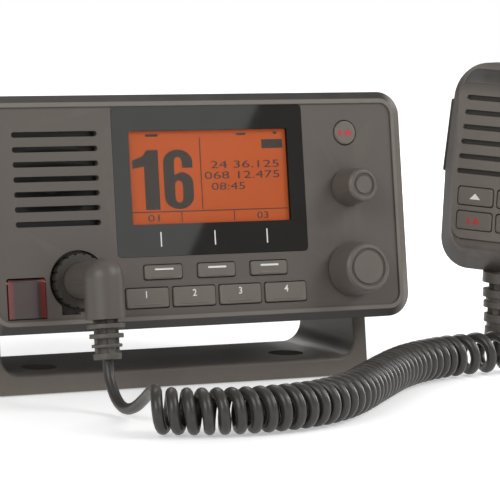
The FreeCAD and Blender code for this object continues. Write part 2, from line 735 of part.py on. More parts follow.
def make_plug_collar():
    """Knurled locking ring of the plug."""
    ring = rod(SOCKET_X, SOCKET_Z, COLLAR_D, COLLAR_FRONT, COLLAR_BACK)
    cuts = [rod(SOCKET_X, SOCKET_Z, NECK_D + 2 * RUN_CLEAR, COLLAR_FRONT - OVER, COLLAR_BACK + OVER)]
    for i in range(COLLAR_NOTCHES):
        a = 2 * math.pi * i / COLLAR_NOTCHES
        x = SOCKET_X + COLLAR_D / 2.0 * math.cos(a)
        z = SOCKET_Z + COLLAR_D / 2.0 * math.sin(a)
        cuts.append(rod(x, z, 1.1, COLLAR_FRONT - OVER, COLLAR_BACK + OVER))
    return ring.cut(cuts)


def ringed_relief(rings, core_d, length, bore_d):
    """Segmented strain relief that points down from the origin, with four webs between its rings."""
    parts = [Part.makeCylinder(core_d / 2.0, length, V(0, 0, -length))]
    for drop, thick, d in rings:
        parts.append(Part.makeCylinder(d / 2.0, thick, V(0, 0, -drop - thick)))
    half = RELIEF_WEB_W / 2.0
    reach = rings[-1][2] / 2.0 - RELIEF_WEB_INSET
    foot = -length + RELIEF_WEB_LIFT
    parts.append(block(-half, half, -reach, reach, foot, 0))
    parts.append(block(-reach, reach, -half, half, foot, 0))
    body = join(parts)
    if bore_d > 0:
        body = body.cut(Part.makeCylinder(bore_d / 2.0, length + 2, V(0, 0, -length - 1)))
    return body


def make_plug_strain_relief():
    """Segmented strain relief under the plug's barrel."""
    length = BARREL_END_Z - RELIEF_END
    relief = ringed_relief(RELIEF_RINGS, RELIEF_CORE_D, length, 0.0)
    relief.translate(V(SOCKET_X, BARREL_Y, BARREL_END_Z))
    return relief


# Housing and the boards in it

def housing_posts():
    """Places of the posts under the main board."""
    x = MAIN_BOARD_W / 2.0 - BOARD_POST_INSET
    ys = (MAIN_BOARD_Y0 + BOARD_POST_INSET, MAIN_BOARD_Y1 - BOARD_POST_INSET)
    return [(sx * x, y) for sx in (-1, 1) for y in ys]


def make_rear_housing():
    """Die-cast rear housing with its flange, cooling fins and side bosses."""
    body = slab(0, 0, HOUSING_W, HOUSING_H, HOUSING_CORNER_R, FLANGE_FRONT, HOUSING_BACK)
    fl_w = INNER_W - 2 * LOOSE_GAP
    fl_h = INNER_H - 2 * LOOSE_GAP
    flange = slab(0, 0, fl_w, fl_h, INNER_R - LOOSE_GAP, FLANGE_FRONT, FLANGE_BACK)
    parts = [body, flange]
    for i in range(REAR_FIN_COUNT):
        x = -HOUSING_W / 2.0 + REAR_FIN_T / 2.0 + 2.0 + i * REAR_FIN_PITCH
        parts.append(block(x - REAR_FIN_T / 2, x + REAR_FIN_T / 2, HOUSING_BACK - BITE,
                           HOUSING_BACK + REAR_FIN_DEPTH, -HOUSING_H / 2 + 2, HOUSING_H / 2 - 2))
    for i in range(TOP_FIN_COUNT):
        x = (i - (TOP_FIN_COUNT - 1) / 2.0) * TOP_FIN_PITCH
        parts.append(block(x - TOP_FIN_T / 2, x + TOP_FIN_T / 2, TOP_FIN_FRONT, HOUSING_BACK,
                           HOUSING_H / 2 - BITE, HOUSING_H / 2 + TOP_FIN_H))
    for side in (-1, 1):
        start = V(side * (HOUSING_W / 2.0 - 1.0), GIMBAL_BACK, 0)
        parts.append(Part.makeCylinder(BOSS_D / 2.0, BOSS_FACE - HOUSING_W / 2.0 + 1.0, start, V(side, 0, 0)))
    body = join(parts)
    cavity = slab(0, 0, HOUSING_W - 2 * HOUSING_WALL, HOUSING_H - 2 * HOUSING_WALL,
                  HOUSING_CORNER_R - HOUSING_WALL, FLANGE_FRONT - OVER, HOUSING_BACK - HOUSING_WALL)
    body = body.cut(cavity)
    extra = []
    for side in (-1, 1):
        start = V(side * (BOSS_FACE - BOSS_DEPTH), GIMBAL_BACK, 0)
        extra.append(Part.makeCylinder(BOSS_D / 2.0, BOSS_DEPTH, start, V(side, 0, 0)))
    floor = -HOUSING_H / 2.0 + HOUSING_WALL
    for x, y in housing_posts():
        foot = V(x, y, floor - BITE)
        extra.append(Part.makeCylinder(BOARD_POST_D / 2.0, MAIN_BOARD_Z - floor + BITE, foot))
    body = join([body] + extra)
    cuts = []
    for side in (-1, 1):
        start = V(side * (BOSS_FACE - BOSS_DEPTH + 1.5), GIMBAL_BACK, 0)
        cuts.append(Part.makeCylinder(STUD_D / 2.0 + STUD_FIT, BOSS_DEPTH + 2, start, V(side, 0, 0)))
    for x, z in CASE_SCREWS:
        cuts.append(rod(x, z, SCREW_D + 2 * SCREW_FIT, FLANGE_FRONT - OVER, FLANGE_BACK + OVER))
        cuts.append(rod(x, z, SCREW_HEAD_D + 2 * SCREW_FIT, FLANGE_BACK - SCREW_HEAD_T, FLANGE_BACK + OVER))
    for x, y in housing_posts():
        cuts.append(Part.makeCylinder(SCREW_D / 2.0 + SCREW_FIT, 6.0, V(x, y, MAIN_BOARD_Z - 5.9)))
    inside = HOUSING_BACK - HOUSING_WALL - OVER
    antenna_d = ANTENNA_THREAD_D + 2 * FIT_GAP
    cuts.append(rod(ANTENNA_X, ANTENNA_Z, antenna_d, inside, HOUSING_BACK + OVER))
    for x, z, d in GLANDS:
        cuts.append(rod(x, z, d - GLAND_TAPER + 2 * FIT_GAP, inside, HOUSING_BACK + OVER))
    return body.cut(cuts)


def make_housing_seal():
    """Rubber seal between the bezel's ledge and the housing flange."""
    w = INNER_W - 2 * LOOSE_GAP
    h = INNER_H - 2 * LOOSE_GAP
    ring = slab(0, 0, w, h, INNER_R - LOOSE_GAP, SEAL_FRONT, FLANGE_FRONT)
    hollow = slab(0, 0, CORE_W, CORE_H, CORE_R, SEAL_FRONT - OVER, FLANGE_FRONT + OVER)
    return ring.cut(hollow).cut([rod(x, z, SCREW_D + OVER, 0, 20) for x, z in CASE_SCREWS])


def make_case_screws():
    """Screws that draw the housing flange to the bezel."""
    screws = []
    for x, z in CASE_SCREWS:
        head = rod(x, z, SCREW_HEAD_D, FLANGE_BACK - SCREW_HEAD_T, FLANGE_BACK - 0.1)
        shank = rod(x, z, SCREW_D, PANEL_BACK + OVER, FLANGE_BACK - SCREW_HEAD_T)
        y0 = FLANGE_BACK - OVER
        y1 = FLANGE_BACK + OVER
        recess = slab(x, z, DRIVER_SLOT_W, DRIVER_SLOT_T, DRIVER_SLOT_R, y0, y1)
        cross = slab(x, z, DRIVER_SLOT_T, DRIVER_SLOT_W, DRIVER_SLOT_R, y0, y1)
        screws.append(join([head, shank]).cut([recess, cross]))
    return group(screws)


def make_main_board():
    """Main circuit board on the housing's posts."""
    half = MAIN_BOARD_W / 2.0
    board = block(-half, half, MAIN_BOARD_Y0, MAIN_BOARD_Y1, MAIN_BOARD_Z, MAIN_BOARD_Z + BOARD_T)
    hole_r = SCREW_D / 2.0 + 2 * FIT_GAP
    below = MAIN_BOARD_Z - OVER
    deep = BOARD_T + 2 * OVER
    holes = [Part.makeCylinder(hole_r, deep, V(x, y, below)) for x, y in housing_posts()]
    return board.cut(holes)


def make_board_screws():
    """Screws of the main board."""
    top = MAIN_BOARD_Z + BOARD_T
    screws = []
    for x, y in housing_posts():
        shank = Part.makeCylinder(SCREW_D / 2.0, 5.0 + BOARD_T, V(x, y, top - 5.0 - BOARD_T))
        head = Part.makeCylinder(2.6, 1.8, V(x, y, top))
        screws.append(join([shank, head]))
    return group(screws)


def make_shield_can():
    """Metal screen over the receiver."""
    top = MAIN_BOARD_Z + BOARD_T
    y0 = MAIN_BOARD_Y0 + 6.0
    half = SHIELD_W / 2.0
    can = block(-half, half, y0, y0 + SHIELD_LEN, top, top + SHIELD_H)
    w = SHIELD_WALL
    hollow = block(-half + w, half - w, y0 + w, y0 + SHIELD_LEN - w, top - 1, top + SHIELD_H - w)
    return can.cut(hollow)


def make_power_module():
    """Transmitter power module, bolted flat to the rear wall."""
    back = HOUSING_BACK - HOUSING_WALL
    x0 = -MAIN_BOARD_W / 2.0 + BOARD_POST_INSET + MODULE_SIDE_GAP
    z0 = MAIN_BOARD_Z + BOARD_T + OVER
    return block(x0, x0 + MODULE_W, back - MODULE_LEN, back, z0, z0 + MODULE_H)


def make_antenna_socket():
    """Antenna socket with a square flange and a threaded barrel."""
    end = HOUSING_BACK + ANTENNA_LEN
    flange = slab(ANTENNA_X, ANTENNA_Z, ANTENNA_FLANGE, ANTENNA_FLANGE, 2.0, HOUSING_BACK,
                  HOUSING_BACK + ANTENNA_FLANGE_T)
    barrel = rod(ANTENNA_X, ANTENNA_Z, ANTENNA_THREAD_D, HOUSING_BACK - HOUSING_WALL, end)
    body = join([flange, barrel])
    body = body.cut(rod(ANTENNA_X, ANTENNA_Z, ANTENNA_BORE_D, HOUSING_BACK + 3.0, end + OVER))
    pin = rod(ANTENNA_X, ANTENNA_Z, 3.8, HOUSING_BACK + 2.0, end - 3.0)
    return join([body, pin])


def make_lead_glands():
    """Rubber glands of the power and data leads."""
    glands = []
    for x, z, d in GLANDS:
        tip = HOUSING_BACK + GLAND_LEN
        gland = cone(x, z, d, HOUSING_BACK, d - GLAND_TAPER, tip)
        root = rod(x, z, d - GLAND_TAPER, HOUSING_BACK - HOUSING_WALL, HOUSING_BACK + OVER)
        bore = rod(x, z, GLAND_BORE_D, HOUSING_BACK - HOUSING_WALL - OVER, tip + OVER)
        glands.append(join([gland, root]).cut(bore))
    return group(glands)


# Bracket, washers and clamp knobs, in the row frame

def arm_profile():
    """Side view of the bracket: a wide foot that narrows to a rounded top round the gimbal axis."""
    half = BRACKET_DEPTH / 2.0
    r = ARM_HALF_DEPTH
    h = GIMBAL_HEIGHT
    reach = math.hypot(half, h)
    tangent = math.acos(r / reach)
    foot = math.atan2(-h, half)
    a = foot + tangent
    right = V(0, r * math.cos(a), h + r * math.sin(a))
    left = V(0, -right.y, right.z)
    top = V(0, 0, h + r)
    edges = [Part.LineSegment(V(0, -half, 0), V(0, half, 0)).toShape()]
    edges.append(Part.LineSegment(V(0, half, 0), right).toShape())
    edges.append(Part.Arc(right, top, left).toShape())
    edges.append(Part.LineSegment(left, V(0, -half, 0)).toShape())
    return Part.Face(Part.Wire(edges))


def make_gimbal_bracket():
    """U-shaped bracket: the front view of the U, cut to the side profile of its arms."""
    height = GIMBAL_HEIGHT + ARM_HALF_DEPTH + 5
    depth = BRACKET_DEPTH / 2.0 + 1
    z_mid = height / 2.0
    outer = slab(0, z_mid, 2 * ARM_OUTER, height, ARM_OUTER_R, -depth, depth)
    outer = outer.fuse(block(-ARM_OUTER, ARM_OUTER, -depth, depth, z_mid, height))
    inner_h = height - BASE_T + 20
    inner = slab(0, BASE_T + inner_h / 2.0, 2 * ARM_INNER, inner_h, ARM_INNER_R, -depth - OVER, depth + OVER)
    frame = outer.cut(inner)
    profile = arm_profile()
    profile.translate(V(-ARM_OUTER - OVER, 0, 0))
    frame = frame.common(profile.extrude(V(2 * ARM_OUTER + 2, 0, 0))).removeSplitter()
    lips = [e for e in frame.Edges if abs(e.CenterOfMass.z - BASE_T) < 0.01 and abs(e.CenterOfMass.x) < 1.0]
    frame = frame.makeFillet(LIP_R, lips)
    cuts = []
    for side in (-1, 1):
        x = side * BRACKET_HOLE_SPACING / 2.0
        through = V(x, BRACKET_HOLE_Y, -OVER)
        cuts.append(Part.makeCylinder(BRACKET_HOLE_D / 2.0, BASE_T + 2 * OVER, through))
        seat = V(x, BRACKET_HOLE_Y, BASE_T - COUNTERBORE_DEPTH)
        cuts.append(Part.makeCylinder(COUNTERBORE_D / 2.0, COUNTERBORE_DEPTH + OVER, seat))
        start = V(side * (ARM_INNER - 2), 0, GIMBAL_HEIGHT)
        cuts.append(Part.makeCylinder(STUD_D / 2.0 + STUD_FIT, ARM_T + 4, start, V(side, 0, 0)))
    return frame.cut(cuts).removeSplitter()


def make_friction_washers():
    """Rubber washers between the housing bosses and the bracket arms, in the head frame."""
    washers = []
    for side in (-1, 1):
        start = V(side * BOSS_FACE, GIMBAL_BACK, 0)
        ring = Part.makeCylinder(WASHER_D / 2.0, WASHER_T, start, V(side, 0, 0))
        before = V(side * (BOSS_FACE - OVER), GIMBAL_BACK, 0)
        hole = Part.makeCylinder(STUD_D / 2.0 + LOOSE_GAP, WASHER_T + 2 * OVER, before, V(side, 0, 0))
        washers.append(ring.cut(hole))
    return group(washers)


def make_gimbal_knob(side):
    """Fluted clamp knob with its stud."""
    axis = V(side, 0, 0)
    start = V(side * KNOB_SEAT, 0, GIMBAL_HEIGHT)
    collar = Part.makeCylinder(CLAMP_KNOB_D / 2.0 - CLAMP_COLLAR_INSET, CLAMP_COLLAR_T, start, axis)
    seat = V(side * (KNOB_SEAT + CLAMP_COLLAR_T), 0, GIMBAL_HEIGHT)
    head = Part.makeCylinder(CLAMP_KNOB_D / 2.0, CLAMP_KNOB_LEN - CLAMP_COLLAR_T, seat, axis)
    head = head.makeChamfer(CLAMP_EDGE, [e for e in head.Edges if e.Closed and len(e.Vertexes) == 1])
    flutes = []
    for i in range(CLAMP_FLUTES):
        a = 2 * math.pi * i / CLAMP_FLUTES
        r = CLAMP_KNOB_D / 2.0 + CLAMP_FLUTE_OUT
        base = V(side * (KNOB_SEAT + OVER), r * math.cos(a), GIMBAL_HEIGHT + r * math.sin(a))
        flutes.append(Part.makeCylinder(CLAMP_FLUTE_D / 2.0, CLAMP_KNOB_LEN + 2, base, axis))
    head = head.cut(flutes)
    tip = V(side * (KNOB_SEAT + OVER - STUD_LEN), 0, GIMBAL_HEIGHT)
    stud = Part.makeCylinder(STUD_D / 2.0, STUD_LEN + OVER, tip, axis)
    return join([head, collar, stud])


# Handset, drawn square in its own frame: face at y = 0, body centre at z = 0

def rounded_outline(corners, y):
    """Wire through (x, z, radius) corners in the plane y, with a tangent arc at each."""
    count = len(corners)
    arcs = []
    for i, (x, z, r) in enumerate(corners):
        at = V(x, y, z)
        before = V(corners[i - 1][0], y, corners[i - 1][1]) - at
        after = V(corners[(i + 1) % count][0], y, corners[(i + 1) % count][1]) - at
        before.normalize()
        after.normalize()
        half = before.getAngle(after) / 2.0
        reach = r / math.tan(half)
        bisector = before + after
        bisector.normalize()
        mid = at + bisector * (r / math.sin(half) - r)
        arcs.append((at + before * reach, mid, at + after * reach))
    edges = []
    for i, (a, m, b) in enumerate(arcs):
        edges.append(Part.Arc(a, m, b).toShape())
        edges.append(Part.LineSegment(b, arcs[(i + 1) % count][0]).toShape())
    return Part.Wire(edges)


def hand_wire(inset, y):
    """Outline of the handset drawn in by inset: sides that taper to the top, large top corners."""
    hw = HAND_W / 2.0 - inset
    top_w = hw - HAND_TAPER
    hh = HAND_H / 2.0 - inset
    top_r = max(HAND_TOP_R - 0.7 * inset, 1.0)
    bottom_r = max(HAND_BOTTOM_R - 0.7 * inset, 1.0)
    corners = (
        (hw, HAND_TAPER_Z, HAND_SIDE_R),
        (top_w, hh, top_r),
        (-top_w, hh, top_r),
        (-hw, HAND_TAPER_Z, HAND_SIDE_R),
        (-hw, -hh, bottom_r),
        (hw, -hh, bottom_r),
    )
    return rounded_outline(corners, y)


def hand_loft(inset0, y0, inset1, y1):
    """Straight loft between two drawn-in handset outlines."""
    return Part.makeLoft([hand_wire(inset0, y0), hand_wire(inset1, y1)], True, True)


def hand_prism(inset, y0, y1):
    """Prism of the handset outline drawn in by inset."""
    return Part.Face(hand_wire(inset, y0)).extrude(V(0, y1 - y0, 0))


HAND_BACK = HAND_FRONT_T + HAND_SEAM + HAND_REAR_T
PTT_FACE = -HAND_W / 2.0 - PTT_PROUD
PTT_INNER = -HAND_W / 2.0 + PTT_DEPTH
PTT_OPENING = PTT_INNER + PTT_TRAVEL + LOOSE_GAP
HAND_BOARD_Y = HAND_WALL + HAND_BOARD_GAP
PTT_LEAN_DEG = math.degrees(math.atan2(HAND_TAPER, HAND_H / 2.0 - HAND_TAPER_Z))
HAND_KEYS = {
    "up_key": (-HAND_KEY_X, ARROW_KEY_Z, ARROW_KEY_H),
    "down_key": (HAND_KEY_X, ARROW_KEY_Z, ARROW_KEY_H),
    "handset_left_key": (-HAND_KEY_X, LOWER_KEY_Z, LOWER_KEY_H),
    "handset_right_key": (HAND_KEY_X, LOWER_KEY_Z, LOWER_KEY_H),
}


def ptt_block(grow, x0, x1):
    """Side block of the talk button, or its opening when grown, square to its own travel."""
    y0 = PTT_Y - PTT_W / 2.0 - grow
    y1 = PTT_Y + PTT_W / 2.0 + grow
    return block(x0, x1, y0, y1, PTT_Z - PTT_H / 2.0 - grow, PTT_Z + PTT_H / 2.0 + grow)


def lean_ptt(shape):
    """Turn a talk button shape so that it follows the handset's tapering side."""
    leaned = shape.copy()
    leaned.rotate(V(-HAND_W / 2.0, 0, HAND_TAPER_Z), V(0, 1, 0), PTT_LEAN_DEG)
    return leaned


def relief_hole():
    """Hole for the strain relief through the handset's lower wall, half in each shell."""
    radius = HAND_RELIEF_CORE_D / 2.0 + RELIEF_HOLE_GAP
    foot = V(0, HAND_FRONT_T, -HAND_H / 2.0 - RELIEF_HOLE_LEN / 2.0)
    return Part.makeCylinder(radius, RELIEF_HOLE_LEN, foot)


def hand_screw_places():
    """Places of the handset's screws."""
    return [(sx * HAND_SCREW_X, sz * HAND_SCREW_Z) for sx in (-1, 1) for sz in (-1, 1)]


def make_handset_front_shell():
    """Front half of the handset with its raised panel, slots and key holes."""
    nose = hand_loft(HAND_FRONT_INSET, 0.0, 0.0, HAND_FRONT_SLOPE)
    body = join([nose, hand_prism(0.0, HAND_FRONT_SLOPE, HAND_FRONT_T)])
    hollow = hand_loft(HAND_FRONT_INSET + 1.2, HAND_WALL, HAND_WALL, HAND_FRONT_SLOPE + OVER)
    hollow = hollow.fuse(hand_prism(HAND_WALL, HAND_FRONT_SLOPE + OVER, HAND_FRONT_T + OVER))
    body = body.cut(hollow)
    panel_h = HAND_PANEL_TOP - HAND_PANEL_BOTTOM
    panel_z = (HAND_PANEL_TOP + HAND_PANEL_BOTTOM) / 2.0
    posts = []
    webs = []
    half_web = HAND_WEB_T / 2.0
    for x, z in hand_screw_places():
        if z > 0:
            posts.append(rod(x, z, HAND_POST_D, HAND_WALL - BITE, HAND_FRONT_T))
            continue
        posts.append(rod(x, z, HAND_POST_D, HAND_WALL + HAND_POST_LIFT, HAND_FRONT_T))
        wall_x = math.copysign(HAND_W / 2.0 - HAND_WALL + BITE, x)
        x0, x1 = sorted((x, wall_x))
        webs.append(block(x0, x1, HAND_FRONT_SLOPE, HAND_FRONT_T, z - half_web, z + half_web))
    panel = slab(0, panel_z, HAND_PANEL_W, panel_h, HAND_PANEL_R, -HAND_PANEL_RAISE, 0.6)
    body = join([body, panel] + posts + webs)
    cuts = []
    for i in range(HAND_SLOT_COUNT):
        z = HAND_SLOT_TOP - i * HAND_SLOT_PITCH
        w = HAND_SLOT_W + i * HAND_SLOT_GROW
        cuts.append(slab(0, z, w, HAND_SLOT_H, HAND_SLOT_H / 2.0, -2 * OVER, HAND_WALL + OVER))
    for x, z, h in HAND_KEYS.values():
        w = HAND_KEY_W + 2 * KEY_GAP
        cuts.append(slab(x, z, w, h + 2 * KEY_GAP, HAND_KEY_R, -2 * OVER, HAND_WALL + OVER))
    cuts.append(lean_ptt(ptt_block(LOOSE_GAP, PTT_FACE - OVER, PTT_OPENING)))
    hole_d = HAND_SCREW_D + 2 * SCREW_FIT
    for x, z in hand_screw_places():
        cuts.append(rod(x, z, hole_d, HAND_WALL + HAND_SCREW_START, HAND_FRONT_T + OVER))
    cuts.append(relief_hole())
    return body.cut(cuts)


def make_handset_rear_shell():
    """Rear half of the handset."""
    start = HAND_FRONT_T + HAND_SEAM
    slope = HAND_BACK - HAND_REAR_SLOPE
    body = join([hand_prism(0.0, start, slope), hand_loft(0.0, slope, HAND_REAR_INSET, HAND_BACK)])
    hollow = hand_prism(HAND_WALL, start - OVER, slope - 0.8)
    hollow = hollow.fuse(hand_loft(HAND_WALL, slope - 0.8, HAND_REAR_INSET + 0.8, HAND_BACK - HAND_WALL))
    body = body.cut(hollow)
    posts = [rod(x, z, HAND_REAR_POST_D, start, HAND_BACK - OVER) for x, z in hand_screw_places()]
    body = join([body] + posts)
    cuts = []
    for x, z in hand_screw_places():
        cuts.append(rod(x, z, HAND_SCREW_D + 2 * SCREW_FIT, start - OVER, HAND_BACK + OVER))
        cuts.append(rod(x, z, HAND_HEAD_D + 2 * FIT_GAP, HAND_BACK - HAND_HEAD_SINK, HAND_BACK + OVER))
    cuts.append(lean_ptt(ptt_block(LOOSE_GAP, PTT_FACE - OVER, PTT_OPENING)))
    cuts.append(relief_hole())
    spigot_d = HANGER_SPIGOT_D + 2 * SCREW_FIT
    cuts.append(rod(0, HANGER_Z, spigot_d, HAND_BACK - HAND_WALL - OVER, HAND_BACK + OVER))
    return body.cut(cuts)


def make_handset_board():
    """Handset circuit board behind the keys."""
    back = HAND_BOARD_Y + HAND_BOARD_T
    board = slab(0, HAND_BOARD_Z, HAND_BOARD_W, HAND_BOARD_H, HAND_BOARD_R, HAND_BOARD_Y, back)
    post_d = HAND_POST_D + 2 * LOOSE_GAP
    posts = [rod(x, z, post_d, 0, HAND_FRONT_T) for x, z in hand_screw_places()]
    hollow_d = HAND_SPEAKER_D + 2 * BITE
    hollow = rod(0, HAND_SLOT_TOP - HAND_SPEAKER_DROP, hollow_d, 0, HAND_FRONT_T)
    return board.cut(posts + [hollow])


def make_handset_speaker():
    """Small loudspeaker behind the handset's slots."""
    z = HAND_SLOT_TOP - HAND_SPEAKER_DROP
    front = HAND_WALL
    ring_back = front + HAND_SPEAKER_RING_T
    ring = rod(0, z, HAND_SPEAKER_D, front, ring_back)
    magnet = rod(0, z, 0.6 * HAND_SPEAKER_D, ring_back - FIT_GAP, front + HAND_SPEAKER_T)
    dish = cone(0, z, 0.84 * HAND_SPEAKER_D, front - 0.01, HAND_SPEAKER_D / 3.0, front + HAND_SPEAKER_DISH)
    return join([ring, magnet]).cut(dish)


def make_microphone_capsule():
    """Microphone capsule on the handset board."""
    return rod(0, CAPSULE_Z, CAPSULE_D, HAND_WALL + 0.2, HAND_BOARD_Y)


def make_hand_key(cx, cz, h, stem):
    """Handset key with a flange inside the shell and a stem to the board."""
    front = -HAND_PANEL_RAISE - HAND_KEY_PROUD
    edge = front + HAND_KEY_EDGE
    rim = HAND_WALL + FIT_GAP
    rim_back = rim + HAND_KEY_RIM_T
    nose_w = HAND_KEY_W - 2 * HAND_KEY_EDGE
    nose_h = h - 2 * HAND_KEY_EDGE
    cap = slab(cx, cz, HAND_KEY_W, h, HAND_KEY_R, edge, rim + FIT_GAP)
    nose = frustum(cx, cz, nose_w, nose_h, HAND_KEY_R, front, HAND_KEY_W, h, HAND_KEY_R, edge)
    flange = slab(cx, cz, HAND_KEY_W + 2 * BITE, h + 2 * BITE, HAND_KEY_R, rim, rim_back)
    pillar = rod(cx, cz, HAND_KEY_STEM_D, rim_back - FIT_GAP, HAND_BOARD_Y - HAND_KEY_TRAVEL - stem)
    return join([cap, nose, flange, pillar])


def make_ptt_button():
    """Talk button in the handset's left side."""
    cap = ptt_block(0.0, PTT_FACE, PTT_INNER)
    cap = cap.makeFillet(PTT_EDGE_R, [e for e in cap.Edges if e.CenterOfMass.x < PTT_FACE + 0.01])
    half_w = PTT_W / 2.0 - PTT_RIM_W
    half_h = PTT_H / 2.0 + PTT_RIM_H
    rim_x = -HAND_W / 2.0 + HAND_WALL + PTT_RIM_GAP
    rim = block(rim_x, PTT_INNER, PTT_Y - half_w, PTT_Y + half_w, PTT_Z - half_h, PTT_Z + half_h)
    return lean_ptt(join([cap, rim]))


def make_handset_strain_relief():
    """Segmented strain relief under the handset."""
    relief = ringed_relief(HAND_RELIEF_RINGS, HAND_RELIEF_CORE_D, HAND_RELIEF_LEN, 0.0)
    plug = Part.makeCylinder(HAND_RELIEF_CORE_D / 2.0, HAND_WALL + RELIEF_ROOT, V(0, 0, -BITE))
    relief = join([relief, plug])
    relief.translate(V(0, HAND_FRONT_T, -HAND_H / 2.0))
    return relief


def make_handset_screws():
    """Screws that hold the handset's halves together."""
    screws = []
    seat = HAND_BACK - HAND_HEAD_SINK
    head_top = seat + HAND_HEAD_T
    for x, z in hand_screw_places():
        shank = rod(x, z, HAND_SCREW_D, HAND_WALL + HAND_SCREW_START + OVER, seat)
        head = rod(x, z, HAND_HEAD_D, seat, head_top)
        floor = seat + HAND_HEAD_T / 2.0
        driver = slab(x, z, DRIVER_SLOT_W, DRIVER_SLOT_T, DRIVER_SLOT_R, floor, head_top + OVER)
        screws.append(join([shank, head]).cut(driver))
    return group(screws)


def make_hanger_button():
    """Button on the handset's back that hangs in a clip."""
    stem = rod(0, HANGER_Z, HANGER_STEM_D, HAND_BACK, HAND_BACK + HANGER_STAND)
    top = HAND_BACK + HANGER_STAND
    disc = rod(0, HANGER_Z, HANGER_D, top, top + HANGER_T)
    spigot = rod(0, HANGER_Z, HANGER_SPIGOT_D, HAND_BACK - HAND_WALL, HAND_BACK + OVER)
    return join([stem, disc, spigot])


# Placing

def seat_head(shape):
    """Move a shape from the head frame to the row frame."""
    placed = shape.copy()
    placed.translate(V(0, -GIMBAL_BACK, 0))
    placed.rotate(V(0, 0, 0), V(1, 0, 0), -LEAN_DEG)
    placed.translate(V(0, 0, GIMBAL_HEIGHT))
    return placed


def head_point(x, y, z):
    """Row position of a head frame point."""
    a = math.radians(-LEAN_DEG)
    dy = y - GIMBAL_BACK
    return V(x, dy * math.cos(a) - z * math.sin(a), GIMBAL_HEIGHT + dy * math.sin(a) + z * math.cos(a))


def seat_handset(shape, foot):
    """Move a shape from the handset frame to the row frame, its strain relief's foot at foot."""
    placed = shape.copy()
    placed.translate(V(0, -HAND_FRONT_T, HAND_H / 2.0 + HAND_RELIEF_LEN))
    placed.rotate(V(0, 0, 0), V(0, 1, 0), HAND_ROLL_DEG)
    placed.rotate(V(0, 0, 0), V(0, 0, 1), HAND_YAW_DEG)
    placed.translate(foot)
    return placed


# Cord

def tube(points, d, name):
    """Straight runs joined by tangent arcs, swept with a round section; prints its radii and volume."""
    pts = [V(*p) for p in points]
    edges = []
    radii = []
    at = pts[0]
    for i in range(1, len(pts) - 1):
        back = pts[i - 1] - pts[i]
        ahead = pts[i + 1] - pts[i]
        run = min(back.Length, ahead.Length)
        turn = math.pi - back.getAngle(ahead)
        radius = 0.45 * run / math.tan(turn / 2.0)
        back.normalize()
        ahead.normalize()
        start = pts[i] + back * (0.45 * run)
        end = pts[i] + ahead * (0.45 * run)
        bisector = back + ahead
        bisector.normalize()
        mid = pts[i] + bisector * (radius / math.cos(turn / 2.0) - radius)
        edges.append(Part.LineSegment(at, start).toShape())
        edges.append(Part.Arc(start, mid, end).toShape())
        radii.append(radius)
        at = end
    edges.append(Part.LineSegment(at, pts[-1]).toShape())
    path = Part.Wire(edges)
    direction = pts[1] - pts[0]
    section = Part.Wire([Part.makeCircle(d / 2.0, pts[0], direction)])
    solid = path.makePipeShell([section], True, False)
    ideal = math.pi * d * d / 4.0 * path.Length
    print(name, "radii", [round(r, 1) for r in radii], "length %.1f" % path.Length,
          "volume over section times length %.4f" % (solid.Volume / ideal))
    return solid


def coil_axis():
    """Smooth line that the curls are wound round, lying on the surface."""
    z = COIL_D / 2.0 + COIL_LIFT
    curve = Part.BSplineCurve()
    curve.interpolate([V(x, y, z) for x, y in COIL_ROUTE])
    return curve


def coil_advance(turn, turns):
    """Share of the axis used after so many turns: even, ever looser at the end, then easing to a stop."""
    loose = max(0.0, turn - (turns - COIL_LOOSE_TURNS))
    ease = max(0.0, turn - (turns - 0.25)) / 0.25
    opened = (COIL_LOOSE_PITCH - COIL_PITCH) * loose * loose / (2.0 * COIL_LOOSE_TURNS)
    return COIL_PITCH * turn + opened - COIL_LOOSE_PITCH * 0.125 * ease * ease


def coil_turns(length):
    """Turns that fit the axis, ending a quarter turn past the underside so the wire leaves upwards."""
    turns = 0.75
    while coil_advance(turns + 1.0, turns + 1.0) <= length:
        turns += 1.0
    return turns


def coil_point(curve, length, scale, turn, turns):
    """Wire centre after so many turns, counted from the top of the first curl."""
    s = min(coil_advance(turn, turns) * scale, length)
    u = curve.parameterAtDistance(s, curve.FirstParameter)
    centre = curve.value(u)
    along = V(*curve.tangent(u)[0])
    side = V(along.y, -along.x, 0)
    side.normalize()
    r = (COIL_D - WIRE_D) / 2.0
    a = 2 * math.pi * turn
    return centre + side * (r * math.sin(a)) + V(0, 0, r * math.cos(a))


def coil_tangent(curve, length, scale, turn, turns):
    """Direction of the wire, from points close by."""
    step = 0.002
    lo = max(turn - step, 0.0)
    hi = min(turn + step, turns)
    t = coil_point(curve, length, scale, hi, turns) - coil_point(curve, length, scale, lo, turns)
    t.normalize()
    return t


def biarc(p0, t0, p1, t1):
    """Two arcs that join p0 and p1 and follow the tangents t0 and t1."""
    chord = p1 - p0
    t_sum = t0 + t1
    a = 2.0 * (1.0 - t0.dot(t1))
    b = 2.0 * chord.dot(t_sum)
    c = -chord.dot(chord)
    d = (-b + math.sqrt(b * b - 4.0 * a * c)) / (2.0 * a)
    q0 = p0 + t0 * d
    q1 = p1 - t1 * d
    joint = (q0 + q1) * 0.5
    return [tangent_arc(p0, q0, joint), tangent_arc(joint, q1, p1)]


def tangent_arc(start, corner, end):
    """Arc from start to end that is tangent to both legs of the corner."""
    leg_a = start - corner
    leg_b = end - corner
    half = leg_a.getAngle(leg_b) / 2.0
    bisector = leg_a + leg_b
    bisector.normalize()
    radius = leg_a.Length * math.tan(half)
    mid = corner + bisector * (radius / math.sin(half) - radius)
    return Part.Arc(start, mid, end).toShape()


